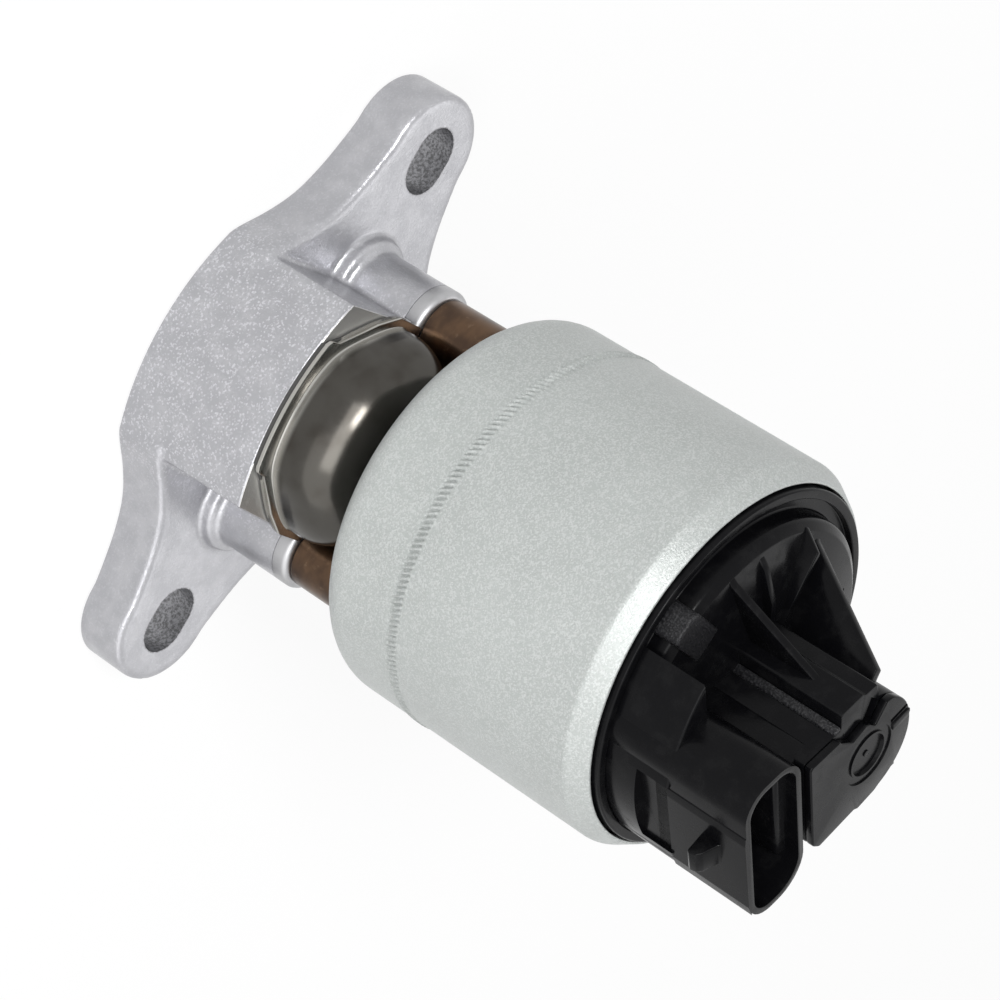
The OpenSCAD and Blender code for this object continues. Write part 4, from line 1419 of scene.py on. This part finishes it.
class Inside:
    """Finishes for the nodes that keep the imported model's own shapes."""

    def dress(self, nodes: dict[str, bpy.types.Object]) -> None:
        """Gives each kept node its finish.

        Args:
            nodes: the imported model's nodes by name.
        """
        steel = PlainMetal("turned_steel", (0.50, 0.50, 0.49), 0.3).paint()
        seat = PlainMetal("ground_seat", (0.40, 0.39, 0.37), 0.3).paint()
        bronze = PlainMetal("bush_bronze", (0.50, 0.36, 0.18), 0.35).paint()
        wire = PlainMetal("enamelled_wire", (0.45, 0.18, 0.07), 0.3).paint()
        tin = PlainMetal("tinned_blade", (0.66, 0.65, 0.60), 0.25).paint()
        rubber = PlainMould("seal_rubber", (0.02, 0.02, 0.02), 0.5).paint()
        gasket = PlainMould("gasket_sheet", (0.05, 0.049, 0.047), 0.6).paint()
        bobbin = PlainMould("bobbin_mould", (0.05, 0.05, 0.055), 0.45).paint()
        board = PlainMould("sensor_board", (0.03, 0.12, 0.06), 0.4).paint()
        pale = PlainMould("wiper_mould", (0.62, 0.58, 0.50), 0.45).paint()
        finish = {
            "valve_seat": seat, "pintle": seat, "shaft_bush": bronze, "shaft_seal": rubber,
            "cap_seal": rubber, "shield_gasket": gasket, "coil_bobbin": bobbin,
            "coil_winding": wire, "coil_lead_1": wire, "coil_lead_2": wire,
            "resistor_board": board, "wiper_carrier": pale,
            **{f"terminal_{i}": tin for i in range(1, 6)},
        }
        for name, node in nodes.items():
            node.data.materials.clear()
            node.data.materials.append(finish.get(name, steel))


# ---- studio


@dataclass(frozen=True)
class Lamp:
    """One soft box.

    Attributes:
        name: the lamp's name.
        place: where it stands, in metres.
        size: width and height of the box, in metres.
        power: its power in watts.
    """

    name: str
    place: tuple[float, float, float]
    size: tuple[float, float]
    power: float


@dataclass
class Studio:
    """The pale floor, the soft boxes, the world and the camera.

    Attributes:
        target: the point that the boxes face, in metres.
        lamps: the soft boxes.
        world_level: strength of the surrounding light that falls on the valve.
        floor_share: how much of the floor's seen colour is its own even white.
        floor_drop: depth of the floor under the flange, in metres.
        eye: the camera's place, in metres.
        right: direction of the picture's right side.
        down: direction of its lower side.
        ahead: direction that the camera looks in.
        lens: focal length in millimetres, for a sensor of the width below.
        sensor: width of the sensor in millimetres.
    """

    target: tuple[float, float, float] = (0.0, 0.0, 0.05)
    lamps: tuple[Lamp, ...] = (
        Lamp("key_box", (-0.20, -0.68, 0.83), (0.28, 0.26), 5.2),
        Lamp("wide_box", (0.10, -0.80, 0.68), (1.0, 0.4), 3.8),
        Lamp("front_box", (0.86, -0.62, 0.62), (2.4, 1.3), 8.2),
        Lamp("back_box", (-0.1, 0.75, 0.85), (0.8, 0.4), 1.4),
    )
    world_level: float = 0.4
    floor_share: float = 0.86
    floor_drop: float = 0.0004
    eye: tuple[float, float, float] = (-0.04036871, -0.44771127, 0.30933023)
    right: tuple[float, float, float] = (-0.49718715, 0.46557986, 0.73214776)
    down: tuple[float, float, float] = (0.86458384, 0.19504971, 0.46308789)
    ahead: tuple[float, float, float] = (0.07279918, 0.86324447, -0.49950903)
    lens: float = 123.2542
    sensor: float = 36.0

    def floor(self) -> None:
        """Lays a white floor that keeps the valve's shadow."""
        bm = bmesh.new()
        bmesh.ops.create_grid(bm, x_segments=1, y_segments=1, size=8)
        obj = piece(moved(bm, z=-self.floor_drop), "floor")
        p = Paint("white_floor")
        obj.data.materials.append(p.done(base_color=(0.9, 0.9, 0.9), roughness=0.9,
                                         specular_ior_level=0.0))
        glow = p.node("ShaderNodeEmission", {}, {"Color": (1.0, 1.0, 1.0), "Strength": 1.0})
        mix = p.node("ShaderNodeMixShader", {}, {
            0: p.seen() * self.floor_share, 1: Wire(p, p.surface.outputs[0]), 2: glow})
        p.feed(p.output.inputs["Surface"], mix)

    def world(self) -> None:
        """Sets an even pale light all round, white where the camera or a mirror sees it."""
        world = bpy.data.worlds.new("studio")
        world.use_nodes = True
        sky = Paint.on(world.node_tree)
        strength = self.world_level + sky.seen() * (1 - self.world_level)
        back = sky.node("ShaderNodeBackground", {},
                        {"Color": (1.0, 1.0, 1.0), "Strength": strength})
        output = next(n for n in world.node_tree.nodes if n.type == "OUTPUT_WORLD")
        sky.feed(output.inputs["Surface"], back)
        bpy.context.scene.world = world

    def light(self) -> None:
        """Hangs the soft boxes."""
        for lamp in self.lamps:
            data = bpy.data.lights.new(lamp.name, "AREA")
            data.shape = "RECTANGLE"
            data.size, data.size_y = lamp.size
            data.energy = lamp.power
            obj = bpy.data.objects.new(lamp.name, data)
            obj.location = lamp.place
            aim = Vector(self.target) - Vector(lamp.place)
            obj.rotation_euler = aim.to_track_quat("-Z", "Y").to_euler()
            bpy.context.scene.collection.objects.link(obj)

    def camera(self) -> None:
        """Puts the camera where the photograph was taken from."""
        data = bpy.data.cameras.new("camera")
        data.sensor_width, data.lens = self.sensor, self.lens
        data.clip_start, data.clip_end = 0.01, 20
        obj = bpy.data.objects.new("camera", data)
        turn = Matrix((self.right, -Vector(self.down), -Vector(self.ahead))).transposed()
        obj.matrix_world = Matrix.Translation(self.eye) @ turn.to_4x4()
        bpy.context.scene.collection.objects.link(obj)
        bpy.context.scene.camera = obj

    def build(self) -> None:
        """Sets up the whole studio."""
        self.floor()
        self.world()
        self.light()
        self.camera()
        bpy.context.scene.view_settings.view_transform = "Standard"


def main() -> None:
    """Builds and dresses the whole valve."""
    logging.basicConfig(level=logging.INFO, format="%(name)s: %(message)s")
    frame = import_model()
    Inside().dress(frame["nodes"])
    BaseCasting().build(CastSilver().paint())
    HeatShield().build(DarkStainless().paint(),
                       PlainMetal("collar_steel", (0.50, 0.50, 0.51), 0.38).paint())
    Spacers().build(CopperBrown().paint())
    SolenoidCan().build(SatinZinc().paint())
    smooth = BlackMoulding().paint()
    cap = SensorCap()
    cap.build(smooth, BlackMoulding(Skin.GRAINED).paint())
    SensorCover(cap=cap).build(smooth)
    Studio().build()
    log.info("the valve is dressed")


if __name__ == "__main__":
    main()
